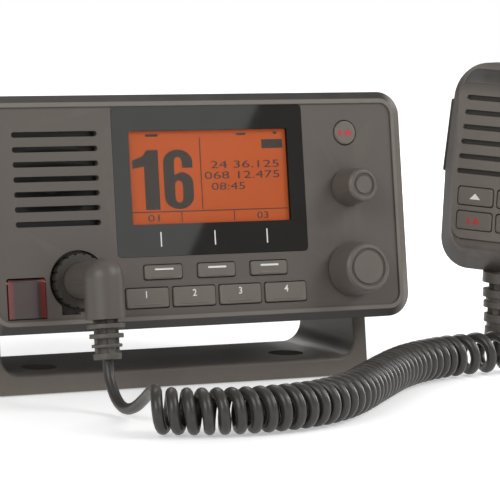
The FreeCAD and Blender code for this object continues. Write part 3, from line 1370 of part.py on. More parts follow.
def make_coil():
    """Curly part of the cord: one unbroken wire wound round its axis, on biarcs of a quarter turn."""
    curve = coil_axis()
    length = curve.length()
    turns = coil_turns(length)
    scale = length / coil_advance(turns, turns)
    count = int(round(turns * 4))
    stations = [i * turns / count for i in range(count + 1)]
    points = [coil_point(curve, length, scale, t, turns) for t in stations]
    tangents = [coil_tangent(curve, length, scale, t, turns) for t in stations]
    tangents[-1] = V(0, 0, 1)
    edges = []
    for i in range(count):
        edges += biarc(points[i], tangents[i], points[i + 1], tangents[i + 1])
    path = Part.Wire(edges)
    section = Part.Wire([Part.makeCircle(WIRE_D / 2.0, points[0], tangents[0])])
    solid = path.makePipeShell([section], True, False)
    steps = int(turns * 24)
    line = [coil_point(curve, length, scale, turns * i / steps, turns) for i in range(steps + 1)]
    least = 1000.0
    for i, p in enumerate(line):
        for q in line[i + 16:i + 34]:
            least = min(least, p.distanceToPoint(q))
    radii = [e.Curve.Radius for e in edges if hasattr(e.Curve, "Radius")]
    print("coil turns %.2f axis %.1f wire %.1f gap %.2f tightest %.2f volume share %.4f lowest %.2f" % (
        turns, length, path.Length, least - WIRE_D, min(radii),
        solid.Volume / (math.pi * WIRE_D ** 2 / 4 * path.Length), solid.BoundBox.ZMin))
    return solid, points[0], tangents[0], points[-1]


def make_lead(first, heading):
    """Free stretch from the plug's strain relief to the first curl."""
    start = head_point(SOCKET_X, BARREL_Y, RELIEF_END)
    below = head_point(SOCKET_X, BARREL_Y, RELIEF_END - WIRE_D)
    before = first - heading * (1.4 * WIRE_D)
    points = [tuple(start), tuple(below)] + list(LEAD_ROUTE) + [tuple(before), tuple(first)]
    return tube(points, WIRE_D, "lead")


def make_tail(last):
    """Short straight end that rises from the last curl to the handset's strain relief."""
    return Part.makeCylinder(WIRE_D / 2.0, TAIL_LEN, last)


# Build every piece

def head_pieces():
    """Every piece that leans with the radio."""
    pieces = {
        "front_bezel": make_front_bezel(),
        "display_window": make_display_window(),
        "lcd_panel": make_lcd_panel(),
        "lcd_frame": make_lcd_frame(),
        "keypad_mat": make_keypad_mat(),
        "front_board": make_front_board(),
        "loudspeaker": make_loudspeaker(),
        "speaker_gasket": make_speaker_gasket(),
        "rear_housing": make_rear_housing(),
        "housing_seal": make_housing_seal(),
        "main_board": make_main_board(),
        "shield_can": make_shield_can(),
        "power_module": make_power_module(),
        "case_screws": make_case_screws(),
        "board_screws": make_board_screws(),
        "antenna_socket": make_antenna_socket(),
        "lead_glands": make_lead_glands(),
        "mic_socket": make_mic_socket(),
        "volume_encoder": make_encoder(VOLUME_Z),
        "select_encoder": make_encoder(SELECT_Z),
        "cover_hinge_pin": make_cover_hinge_pin(),
        "distress_switch": make_distress_switch(),
        "plug_elbow": make_plug_elbow(),
        "plug_contacts": make_plug_contacts(),
        "plug_strain_relief": make_plug_strain_relief(),
        "plug_collar": make_plug_collar(),
        "power_key": make_power_key(),
        "distress_cover": make_distress_cover(),
        "distress_button": make_distress_button(),
        "volume_knob": make_knob(VOLUME_Z, VOLUME_BASE_D, VOLUME_TIP_D, VOLUME_LEN),
        "select_knob": make_knob(SELECT_Z, SELECT_BASE_D, SELECT_TIP_D, SELECT_LEN),
        "volume_shaft": make_shaft(VOLUME_Z, VOLUME_LEN),
        "select_shaft": make_shaft(SELECT_Z, SELECT_LEN),
        "friction_washers": make_friction_washers(),
    }
    for name, x in zip(("soft_key_left", "soft_key_middle", "soft_key_right"), SOFT_KEY_X):
        pieces[name] = make_key(x, SOFT_KEY_Z, SOFT_KEY_W, SOFT_KEY_H)
    for i, x in enumerate(MAIN_KEY_XS):
        pieces["main_key_%d" % (i + 1)] = make_key(x, MAIN_KEY_Z, MAIN_KEY_W, MAIN_KEY_H)
    return pieces


def handset_pieces():
    """Every piece of the handset."""
    pieces = {
        "handset_front_shell": make_handset_front_shell(),
        "handset_rear_shell": make_handset_rear_shell(),
        "handset_board": make_handset_board(),
        "handset_speaker": make_handset_speaker(),
        "microphone_capsule": make_microphone_capsule(),
        "ptt_button": make_ptt_button(),
        "handset_strain_relief": make_handset_strain_relief(),
        "handset_screws": make_handset_screws(),
        "hanger_button": make_hanger_button(),
    }
    for name, (x, z, h) in HAND_KEYS.items():
        pieces[name] = make_hand_key(x, z, h, KEY_CLEAR)
    return pieces


def main():
    """Write one file per piece."""
    os.makedirs("parts", exist_ok=True)
    coil, first, heading, last = make_coil()
    pieces = {
        "gimbal_bracket": make_gimbal_bracket(),
        "gimbal_knob_left": make_gimbal_knob(-1),
        "gimbal_knob_right": make_gimbal_knob(1),
        "cord_lead": make_lead(first, heading),
        "cord_coil": coil,
        "cord_tail": make_tail(last),
    }
    for name, shape in head_pieces().items():
        pieces[name] = seat_head(shape)
    foot = last + V(0, 0, TAIL_LEN + TAIL_GAP)
    for name, shape in handset_pieces().items():
        pieces[name] = seat_handset(shape, foot)
    print("handset stands over", [round(c, 2) for c in foot])
    for name, shape in pieces.items():
        if not shape.isValid() or not shape.Solids:
            print("bad shape", name)
        shape.exportStep("parts/%s.step" % name)
    print(len(pieces), "pieces written")


main()
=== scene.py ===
"""Looks of a fixed-mount marine radio on its gimbal bracket, with a hand microphone on a curly cord."""
import logging
import math
from dataclasses import dataclass, field
from enum import Enum

import bpy
from mathutils import Matrix, Vector


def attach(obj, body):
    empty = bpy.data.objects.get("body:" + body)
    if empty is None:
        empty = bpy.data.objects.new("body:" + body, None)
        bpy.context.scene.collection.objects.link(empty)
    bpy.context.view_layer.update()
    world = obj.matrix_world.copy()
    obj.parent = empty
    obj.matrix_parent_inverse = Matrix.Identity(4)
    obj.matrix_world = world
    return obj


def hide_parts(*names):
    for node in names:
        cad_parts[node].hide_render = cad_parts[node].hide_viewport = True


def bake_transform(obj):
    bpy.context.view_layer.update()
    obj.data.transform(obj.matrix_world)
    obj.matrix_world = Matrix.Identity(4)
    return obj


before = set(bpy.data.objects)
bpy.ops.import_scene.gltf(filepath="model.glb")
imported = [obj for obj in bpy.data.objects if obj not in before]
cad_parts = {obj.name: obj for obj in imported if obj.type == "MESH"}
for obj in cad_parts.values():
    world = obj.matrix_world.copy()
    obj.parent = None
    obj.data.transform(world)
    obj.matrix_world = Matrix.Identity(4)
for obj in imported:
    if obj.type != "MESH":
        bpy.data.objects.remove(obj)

LOG = logging.getLogger("marine_radio")
MM = 0.001

Socket = bpy.types.NodeSocket
Colour = tuple[float, float, float]
Point = tuple[float, float, float]
Box = tuple[float, float, float, float, float]


class Place(Enum):
    """Frame in which a piece is drawn before it is put on the object."""

    HEAD = "head"
    HAND = "hand"


LEAN_DEG = 8.5
GIMBAL_HEIGHT = 61.0
GIMBAL_BACK = 38.5
HAND_FOOT: Point = (131.25, -33.0, 12.8)
HAND_YAW_DEG = -55.7
HAND_ROLL_DEG = 2.8
HAND_SEAM_DEPTH = 12.0
HAND_RISE = 65.7


def turn(degrees: float, axis: str) -> Matrix:
    """Rotation about one axis."""
    return Matrix.Rotation(math.radians(degrees), 4, axis)


def place_matrix(place: Place) -> Matrix:
    """Matrix from a drawing frame to the row frame, both in metres.

    Args:
        place: the drawing frame.

    Returns:
        The matrix that seats a piece drawn there.
    """
    if place is Place.HEAD:
        up = Matrix.Translation(Vector((0.0, 0.0, GIMBAL_HEIGHT * MM)))
        back = Matrix.Translation(Vector((0.0, -GIMBAL_BACK * MM, 0.0)))
        return up @ turn(-LEAN_DEG, "X") @ back
    if place is Place.HAND:
        foot = Matrix.Translation(Vector(HAND_FOOT) * MM)
        body = Matrix.Translation(Vector((0.0, -HAND_SEAM_DEPTH, HAND_RISE)) * MM)
        return foot @ turn(HAND_YAW_DEG, "Z") @ turn(HAND_ROLL_DEG, "Y") @ body
    return Matrix.Identity(4)


# Shared node groups


class Graph:
    """Adds and links the nodes of one tree."""

    def __init__(self, tree: bpy.types.NodeTree) -> None:
        """Keep the tree.

        Args:
            tree: the node tree to build in.
        """
        self.tree = tree

    def add(self, kind: str, inputs: dict | None = None, **settings: object) -> bpy.types.Node:
        """Add a node, set its properties and feed or set its inputs.

        Args:
            kind: the node's type name.
            inputs: input names or numbers with a socket to link or a value to set.
            settings: the node's own properties.

        Returns:
            The new node.
        """
        node = self.tree.nodes.new(kind)
        for key, value in settings.items():
            setattr(node, key, value)
        for key, value in (inputs or {}).items():
            if isinstance(value, Socket):
                self.tree.links.new(value, node.inputs[key])
            else:
                node.inputs[key].default_value = value
        return node

    def math(self, operation: str, *values: object) -> Socket:
        """Result of a math node on up to three values or sockets."""
        node = self.add("ShaderNodeMath", dict(enumerate(values)), operation=operation)
        return node.outputs[0]

    def ramp(self, value: object, low: float, high: float) -> Socket:
        """Smooth step from 0 at low to 1 at high."""
        inputs = {0: value, 1: low, 2: high, 3: 0.0, 4: 1.0}
        node = self.add("ShaderNodeMapRange", inputs, interpolation_type="SMOOTHSTEP")
        return node.outputs[0]

    def mix(self, factor: object, first: object, second: object) -> Socket:
        """Colour between two colours or sockets."""
        inputs = {0: factor, 6: opaque(first), 7: opaque(second)}
        return self.add("ShaderNodeMix", inputs, data_type="RGBA").outputs[2]

    def noise(self, vector: object, scale: float, detail: float = 2.0) -> Socket:
        """Noise value with the given scale per metre."""
        inputs = {"Vector": vector, "Scale": scale, "Detail": detail}
        return self.add("ShaderNodeTexNoise", inputs).outputs[0]

    def group(self, name: str, **inputs: object) -> bpy.types.Node:
        """Place a shared group; an underscore in an input's name stands for a space."""
        node = self.tree.nodes.new("ShaderNodeGroup")
        node.node_tree = bpy.data.node_groups[name]
        for key, value in inputs.items():
            socket = node.inputs[key.replace("_", " ")]
            if isinstance(value, Socket):
                self.tree.links.new(value, socket)
            else:
                socket.default_value = value
        return node


def opaque(colour: object) -> object:
    """Colour with its alpha, or a socket as it is."""
    if isinstance(colour, Socket):
        return colour
    return (*colour, 1.0)


def open_group(name: str, inputs: dict[str, object], outputs: tuple[str, ...]) -> tuple[Graph, dict, dict]:
    """Start a shared group.

    Args:
        name: the group's name.
        inputs: input names with their default number or vector.
        outputs: names of the number outputs.

    Returns:
        The graph, its input sockets by name and its output sockets by name.
    """
    tree = bpy.data.node_groups.new(name, "ShaderNodeTree")
    for label, value in inputs.items():
        kind = "NodeSocketVector" if isinstance(value, tuple) else "NodeSocketFloat"
        socket = tree.interface.new_socket(name=label, in_out="INPUT", socket_type=kind)
        socket.default_value = value
    for label in outputs:
        tree.interface.new_socket(name=label, in_out="OUTPUT", socket_type="NodeSocketFloat")
    graph = Graph(tree)
    source = graph.add("NodeGroupInput")
    sink = graph.add("NodeGroupOutput")
    return graph, {s.name: s for s in source.outputs}, {s.name: s for s in sink.inputs}


def build_moulded_grain() -> None:
    """Fine grain of moulded plastic, with a slow change of tone."""
    defaults = {"Vector": (0.0, 0.0, 0.0), "Grain": 2400.0, "Tone Scale": 45.0}
    graph, given, out = open_group("Moulded grain", defaults, ("Height", "Tone"))
    place = given["Vector"]
    fine = graph.add("ShaderNodeTexNoise", {"Vector": place, "Scale": given["Grain"], "Detail": 1.0})
    slow = graph.add("ShaderNodeTexNoise", {"Vector": place, "Scale": given["Tone Scale"], "Detail": 3.0})
    graph.tree.links.new(fine.outputs[0], out["Height"])
    graph.tree.links.new(slow.outputs[0], out["Tone"])


def build_edge_wear() -> None:
    """Mask of the edges that hands and cases rub."""
    graph, given, out = open_group("Edge wear", {"Vector": (0.0, 0.0, 0.0), "Amount": 0.5}, ("Mask",))
    pointy = graph.add("ShaderNodeNewGeometry").outputs["Pointiness"]
    edge = graph.ramp(pointy, 0.52, 0.6)
    broken = graph.ramp(graph.noise(given["Vector"], 260.0), 0.3, 0.65)
    mask = graph.math("MULTIPLY", edge, graph.math("MULTIPLY_ADD", broken, 0.6, 0.4))
    graph.tree.links.new(graph.math("MULTIPLY", mask, given["Amount"]), out["Mask"])


def build_settled_dust() -> None:
    """Mask of the faint dust on faces that look up."""
    graph, given, out = open_group("Settled dust", {"Vector": (0.0, 0.0, 0.0), "Amount": 0.1}, ("Mask",))
    normal = graph.add("ShaderNodeNewGeometry").outputs["Normal"]
    upward = graph.add("ShaderNodeSeparateXYZ", {0: normal}).outputs["Z"]
    patchy = graph.ramp(graph.noise(given["Vector"], 90.0), 0.35, 0.75)
    mask = graph.math("MULTIPLY", graph.ramp(upward, 0.3, 1.0), patchy)
    graph.tree.links.new(graph.math("MULTIPLY", mask, given["Amount"]), out["Mask"])


def build_drawing_frame() -> None:
    """Coordinates in millimetres in the frame in which a sub-assembly is drawn."""
    defaults = {"Vector": (0.0, 0.0, 0.0), "Turn": (0.0, 0.0, 0.0), "Shift": (0.0, 0.0, 0.0)}
    graph, given, out = open_group("Drawing frame", defaults, ("X", "Y", "Z"))
    inputs = {"Vector": given["Vector"], "Rotation": given["Turn"], "Location": given["Shift"]}
    mapped = graph.add("ShaderNodeMapping", inputs).outputs[0]
    split = graph.add("ShaderNodeSeparateXYZ", {0: mapped})
    for axis in "XYZ":
        graph.tree.links.new(graph.math("MULTIPLY", split.outputs[axis], 1000.0), out[axis])


def build_rounded_box() -> None:
    """Distance in millimetres from the outline of a rounded rectangle, negative inside."""
    defaults = {"X": 0.0, "Z": 0.0, "Centre X": 0.0, "Centre Z": 0.0,
                "Half Width": 10.0, "Half Height": 10.0, "Corner": 1.0}
    graph, given, out = open_group("Rounded box", defaults, ("Distance",))

    def excess(value: str, centre: str, half: str) -> Socket:
        """How far a coordinate is past the straight part of its side."""
        offset = graph.math("ABSOLUTE", graph.math("SUBTRACT", given[value], given[centre]))
        straight = graph.math("SUBTRACT", given[half], given["Corner"])
        return graph.math("SUBTRACT", offset, straight)

    dx = excess("X", "Centre X", "Half Width")
    dz = excess("Z", "Centre Z", "Half Height")
    ox = graph.math("MAXIMUM", dx, 0.0)
    oz = graph.math("MAXIMUM", dz, 0.0)
    squares = graph.math("ADD", graph.math("MULTIPLY", ox, ox), graph.math("MULTIPLY", oz, oz))
    outside = graph.math("SQRT", squares)
    inside = graph.math("MINIMUM", graph.math("MAXIMUM", dx, dz), 0.0)
    total = graph.math("ADD", outside, inside)
    graph.tree.links.new(graph.math("SUBTRACT", total, given["Corner"]), out["Distance"])


def build_shared_groups() -> None:
    """Build every shared group once."""
    build_moulded_grain()
    build_edge_wear()
    build_settled_dust()
    build_drawing_frame()
    build_rounded_box()


# Finishes


def open_material(name: str) -> tuple[bpy.types.Material, Graph, bpy.types.Node, Socket]:
    """Start a material.

    Args:
        name: the material's name.

    Returns:
        The material, its graph, its Principled shader and its object coordinates.
    """
    material = bpy.data.materials.new(name)
    material.use_nodes = True
    graph = Graph(material.node_tree)
    shader = material.node_tree.nodes["Principled BSDF"]
    coords = graph.add("ShaderNodeTexCoord").outputs["Object"]
    return material, graph, shader, coords


def scaled(colour: Colour, factor: float) -> Colour:
    """Colour made lighter or darker."""
    return tuple(min(1.0, c * factor) for c in colour)


@dataclass(frozen=True)
class MouldedFinish:
    """Moulded plastic, paint or rubber with a fine grain, worn edges and a little dust."""

    name: str
    colour: Colour
    roughness: float = 0.5
    grain: float = 2400.0
    depth: float = 0.00003
    wear: float = 0.35
    dust: float = 0.06
    specular: float = 0.5
    coat: float = 0.0
    metallic: float = 0.0
    sheen: float = 0.0

    def base(self, graph: Graph, coords: Socket, tone: Socket) -> Socket:
        """Colour before wear and dust."""
        return graph.mix(tone, scaled(self.colour, 0.9), scaled(self.colour, 1.1))

    def material(self) -> bpy.types.Material:
        """Build the material.

        Returns:
            The finished material.
        """
        material, graph, shader, coords = open_material(self.name)
        grain = graph.group("Moulded grain", Vector=coords, Grain=self.grain)
        tone = grain.outputs["Tone"]
        worn = graph.group("Edge wear", Vector=coords, Amount=self.wear).outputs["Mask"]
        dusty = graph.group("Settled dust", Vector=coords, Amount=self.dust).outputs["Mask"]
        colour = graph.mix(worn, self.base(graph, coords, tone), scaled(self.colour, 1.9))
        colour = graph.mix(dusty, colour, (0.42, 0.40, 0.37))
        rough = graph.math("MULTIPLY_ADD", tone, 0.14, self.roughness - 0.07)
        bump = graph.add("ShaderNodeBump", {"Height": grain.outputs["Height"], "Strength": 0.5,
                                            "Distance": self.depth})
        links = graph.tree.links
        links.new(colour, shader.inputs["Base Color"])
        links.new(rough, shader.inputs["Roughness"])
        links.new(bump.outputs[0], shader.inputs["Normal"])
        shader.inputs["Metallic"].default_value = self.metallic
        shader.inputs["Specular IOR Level"].default_value = self.specular
        shader.inputs["Coat Weight"].default_value = self.coat
        shader.inputs["Sheen Weight"].default_value = self.sheen
        return material


def drawn_axes(graph: Graph, coords: Socket, place: Place) -> bpy.types.Node:
    """Node that gives the coordinates of a drawing frame, in millimetres."""
    back = place_matrix(place).inverted()
    angles = tuple(back.to_euler("XYZ"))
    return graph.group("Drawing frame", Vector=coords, Turn=angles, Shift=tuple(back.translation))


def box_distance(graph: Graph, axes: bpy.types.Node, box: Box) -> Socket:
    """Distance from a rounded rectangle given as centre x, centre z, width, height and corner."""
    cx, cz, width, height, corner = box
    node = graph.group("Rounded box", X=axes.outputs["X"], Z=axes.outputs["Z"], Centre_X=cx, Centre_Z=cz,
                       Half_Width=width / 2.0, Half_Height=height / 2.0, Corner=corner)
    return node.outputs["Distance"]


@dataclass(frozen=True)
class BezelFinish(MouldedFinish):
    """Face moulding: mid grey panel with a lighter band, slopes above and below darkened by painted shade,
    and slopes beside made pale by painted light.
    """

    panel_box: Box = (0.0, 0.0, 161.0, 76.0, 4.5)
    band: Colour = (0.17, 0.15, 0.13)
    # Painted shade: dark colour of the slopes above and below the panel.
    painted_slope_shading: Colour = (0.026, 0.022, 0.019)
    # Painted light: pale colour of the slopes beside the panel, as if lit from the sides.
    side_slope_painted_light: Colour = (0.20, 0.177, 0.154)

    def base(self, graph: Graph, coords: Socket, tone: Socket) -> Socket:
        """Panel, band and the slopes' painted shade and painted light by their distance from the panel's
        outline.
        """
        axes = drawn_axes(graph, coords, Place.HEAD)
        distance = box_distance(graph, axes, self.panel_box)
        panel = graph.mix(tone, scaled(self.colour, 0.94), scaled(self.colour, 1.06))
        with_band = graph.mix(graph.ramp(distance, 0.1, 0.35), panel, self.band)
        # Painted light: the slopes turn pale towards the sides of the panel.
        painted_light_beside = graph.ramp(graph.math("ABSOLUTE", axes.outputs["X"], 0.0), 78.0, 83.5)
        painted_slope_shading = graph.mix(painted_light_beside, self.painted_slope_shading, self.side_slope_painted_light)
        return graph.mix(graph.ramp(distance, 1.5, 1.9), with_band, painted_slope_shading)


@dataclass(frozen=True)
class HandsetFinish(MouldedFinish):
    """Handset moulding: a lighter front with a groove round it in painted shade, painted shade darkening the
    front towards its top, and outer slopes darkened by painted shade.
    """

    front: Box = (0.0, 4.9, 36.5, 65.2, 5.0)
    # Painted shade: near-black colour of the groove round the front.
    groove_painted_shade: Colour = (0.018, 0.015, 0.012)

    def base(self, graph: Graph, coords: Socket, tone: Socket) -> Socket:
        """Front, painted groove shade and painted slope shade by their distance from the front's outline,
        with painted shade towards the top of the front.
        """
        axes = drawn_axes(graph, coords, Place.HAND)
        distance = box_distance(graph, axes, self.front)
        panel = graph.mix(tone, scaled(self.colour, 0.94), scaled(self.colour, 1.06))
        # Painted shade: the front darkens towards its top, where its surface turns upwards.
        panel = graph.mix(graph.ramp(axes.outputs["Z"], 27.0, 36.0), panel, scaled(self.colour, 0.22))
        # Painted shade: the outer slopes darken further out from the front.
        painted_slope_shading = graph.mix(graph.ramp(distance, 1.2, 4.0), scaled(self.colour, 0.75), scaled(self.colour, 0.5))
        # Painted shade: a thin near-black line along the front's outline where the groove runs.
        edged = graph.mix(graph.ramp(distance, -0.3, -0.1), panel, self.groove_painted_shade)
        return graph.mix(graph.ramp(distance, 0.2, 0.5), edged, painted_slope_shading)


@dataclass(frozen=True)
class WindowFinish:
    """Flat window: clear over the display, with a near-black printed border."""

    name: str = "display_window"

    def material(self) -> bpy.types.Material:
        """Build the material.

        Returns:
            The finished material.
        """
        material, graph, shader, coords = open_material(self.name)
        axes = drawn_axes(graph, coords, Place.HEAD)
        distance = box_distance(graph, axes, (4.75, 12.0, 63.8, 34.0, 0.4))
        printed = graph.ramp(distance, -0.05, 0.1)
        haze = graph.noise(coords, 120.0)
        alpha = graph.math("MAXIMUM", printed, graph.math("MULTIPLY_ADD", haze, 0.02, 0.05))
        rough = graph.math("MULTIPLY_ADD", haze, 0.03, 0.02)
        links = graph.tree.links
        links.new(graph.mix(haze, (0.012, 0.011, 0.010), (0.016, 0.015, 0.013)), shader.inputs["Base Color"])
        links.new(alpha, shader.inputs["Alpha"])
        links.new(rough, shader.inputs["Roughness"])
        return material


@dataclass(frozen=True)
class DisplayFinish:
    """Backlit orange display cell with a fine dot grid."""

    name: str = "display_cell"
    colour: Colour = (0.48, 0.082, 0.010)
    glow: float = 0.22

    def material(self) -> bpy.types.Material:
        """Build the material.

        Returns:
            The finished material.
        """
        material, graph, shader, coords = open_material(self.name)
        axes = drawn_axes(graph, coords, Place.HEAD)
        columns = graph.math("FRACT", graph.math("MULTIPLY", axes.outputs["X"], 2.6))
        rows = graph.math("FRACT", graph.math("MULTIPLY", axes.outputs["Z"], 2.6))
        line = graph.math("MINIMUM", graph.ramp(columns, 0.0, 0.2), graph.ramp(rows, 0.0, 0.2))
        shade = graph.mix(graph.noise(coords, 40.0), scaled(self.colour, 0.93), scaled(self.colour, 1.07))
        colour = graph.mix(graph.math("MULTIPLY_ADD", line, 0.5, 0.5), scaled(self.colour, 0.82), shade)
        graph.tree.links.new(colour, shader.inputs["Base Color"])
        graph.tree.links.new(colour, shader.inputs["Emission Color"])
        shader.inputs["Emission Strength"].default_value = self.glow
        shader.inputs["Roughness"].default_value = 0.6
        return material


@dataclass(frozen=True)
class SmokedFinish:
    """Smoked red cover that lets a little of what is under it through."""

    name: str = "smoked_cover"

    def material(self) -> bpy.types.Material:
        """Build the material.

        Returns:
            The finished material.
        """
        material, graph, shader, coords = open_material(self.name)
        axes = drawn_axes(graph, coords, Place.HEAD)
        middle = graph.math("ABSOLUTE", graph.math("ADD", axes.outputs["X"], 69.55))
        edge = graph.ramp(middle, 4.2, 6.6)
        streak = graph.noise(coords, 300.0)
        colour = graph.mix(edge, (0.028, 0.012, 0.011), (0.17, 0.018, 0.013))
        colour = graph.mix(graph.math("MULTIPLY", streak, 0.4), colour, (0.06, 0.02, 0.018))
        graph.tree.links.new(colour, shader.inputs["Base Color"])
        graph.tree.links.new(graph.math("MULTIPLY_ADD", streak, 0.1, 0.16), shader.inputs["Roughness"])
        shader.inputs["Coat Weight"].default_value = 0.3
        return material


FINISHES: dict[str, object] = {
    "bezel": BezelFinish("bezel_plastic", (0.100, 0.085, 0.073), roughness=0.52, wear=0.12, dust=0.03),
    "window": WindowFinish(),
    "display": DisplayFinish(),
    "smoked": SmokedFinish(),
    "ink": MouldedFinish("display_ink", (0.05, 0.038, 0.030), roughness=0.6, wear=0.0, dust=0.0),
    "white_print": MouldedFinish("white_print", (0.8, 0.8, 0.78), roughness=0.5, wear=0.0, dust=0.0),
    "grey_print": MouldedFinish("grey_print", (0.2, 0.19, 0.18), roughness=0.5, wear=0.0, dust=0.0),
    "red_print": MouldedFinish("red_print", (0.52, 0.02, 0.03), roughness=0.5, wear=0.0, dust=0.0),
    "key": MouldedFinish("key_rubber", (0.148, 0.128, 0.110), roughness=0.5, grain=1800.0, wear=0.25),
    "knob": MouldedFinish("knob_plastic", (0.115, 0.100, 0.086), roughness=0.42, wear=0.4),
    "socket": MouldedFinish("socket_plastic", (0.040, 0.035, 0.029), roughness=0.4, wear=0.3),
    "cord": MouldedFinish("cord_rubber", (0.034, 0.030, 0.026), roughness=0.36, grain=900.0, depth=0.00004,
                          wear=0.0, dust=0.05, sheen=0.05),
    "plug": MouldedFinish("plug_rubber", (0.092, 0.080, 0.069), roughness=0.42, grain=1500.0, wear=0.12),
    "handset": MouldedFinish("handset_plastic", (0.062, 0.054, 0.046), roughness=0.5, wear=0.2),
    "handset_front": HandsetFinish("handset_front", (0.152, 0.132, 0.114), roughness=0.5, wear=0.15),
    "slot_floor": MouldedFinish("slot_floor", (0.040, 0.035, 0.030), roughness=0.7, wear=0.0),
    "bracket": MouldedFinish("bracket_paint", (0.150, 0.130, 0.111), roughness=0.44, grain=1400.0,
                             depth=0.00005, wear=0.2, dust=0.1),
    "housing": MouldedFinish("housing_coat", (0.036, 0.032, 0.028), roughness=0.5, grain=1100.0,
                             depth=0.00007, wear=0.3, dust=0.12),
    "clamp": MouldedFinish("clamp_rubber", (0.026, 0.024, 0.022), roughness=0.55, grain=1500.0, wear=0.3),
    "seal": MouldedFinish("seal_rubber", (0.014, 0.013, 0.012), roughness=0.7, wear=0.0),
    "black": MouldedFinish("moulded_black", (0.02, 0.02, 0.02), roughness=0.45),
    "mat": MouldedFinish("mat_rubber", (0.32, 0.32, 0.31), roughness=0.6),
    "frame_white": MouldedFinish("frame_white", (0.6, 0.6, 0.57), roughness=0.5),
    "board": MouldedFinish("board_green", (0.015, 0.09, 0.035), roughness=0.35, grain=500.0, wear=0.0),
    "steel": MouldedFinish("bright_steel", (0.5, 0.5, 0.5), roughness=0.3, metallic=1.0, grain=3000.0,
                           wear=0.2),
    "tin": MouldedFinish("tin_plate", (0.6, 0.6, 0.58), roughness=0.35, metallic=1.0, grain=600.0, wear=0.1),
    "nickel": MouldedFinish("nickel_plate", (0.66, 0.64, 0.6), roughness=0.22, metallic=1.0, wear=0.2),
    "brass": MouldedFinish("gilt_brass", (0.78, 0.55, 0.22), roughness=0.25, metallic=1.0, wear=0.2),
    "red": MouldedFinish("button_red", (0.42, 0.015, 0.015), roughness=0.35, wear=0.1),
}

FINISH_NODES: dict[str, str] = {
    "bracket": "gimbal_bracket",
    "clamp": "gimbal_knob_left gimbal_knob_right",
    "cord": "cord_lead cord_coil cord_tail",
    "bezel": "front_bezel",
    "window": "display_window",
    "display": "lcd_panel",
    "frame_white": "lcd_frame",
    "mat": "keypad_mat",
    "board": "front_board main_board handset_board",
    "black": "loudspeaker power_module volume_encoder select_encoder distress_switch handset_speaker",
    "seal": "speaker_gasket housing_seal lead_glands friction_washers",
    "housing": "rear_housing",
    "tin": "shield_can microphone_capsule",
    "steel": "case_screws board_screws cover_hinge_pin volume_shaft select_shaft handset_screws",
    "nickel": "antenna_socket",
    "socket": "mic_socket plug_collar hanger_button",
    "red": "distress_button",
    "smoked": "distress_cover",
    "plug": "plug_elbow plug_strain_relief handset_strain_relief",
    "brass": "plug_contacts",
    "key": "power_key soft_key_left soft_key_middle soft_key_right main_key_1 main_key_2 main_key_3 "
           "main_key_4 up_key down_key handset_left_key handset_right_key",
    "knob": "volume_knob select_knob",
    "handset_front": "handset_front_shell",
    "handset": "handset_rear_shell ptt_button",
}

NODE_FINISH: dict[str, str] = {
    node: finish for finish, nodes in FINISH_NODES.items() for node in nodes.split()
}


class FinishStore:
    """Makes each material once and hands it out by name."""

    def __init__(self) -> None:
        """Start with no materials made."""
        self.made: dict[str, bpy.types.Material] = {}

    def get(self, key: str) -> bpy.types.Material:
        """Material of a finish.

        Args:
            key: the finish's short name.

        Returns:
            Its material, built on first use.
        """
        if key not in self.made:
            self.made[key] = FINISHES[key].material()
        return self.made[key]

    def dress(self, piece: bpy.types.Object, key: str) -> None:
        """Give a piece one material all over."""
        piece.data.materials.clear()
        piece.data.materials.append(self.get(key))


# Work on meshes


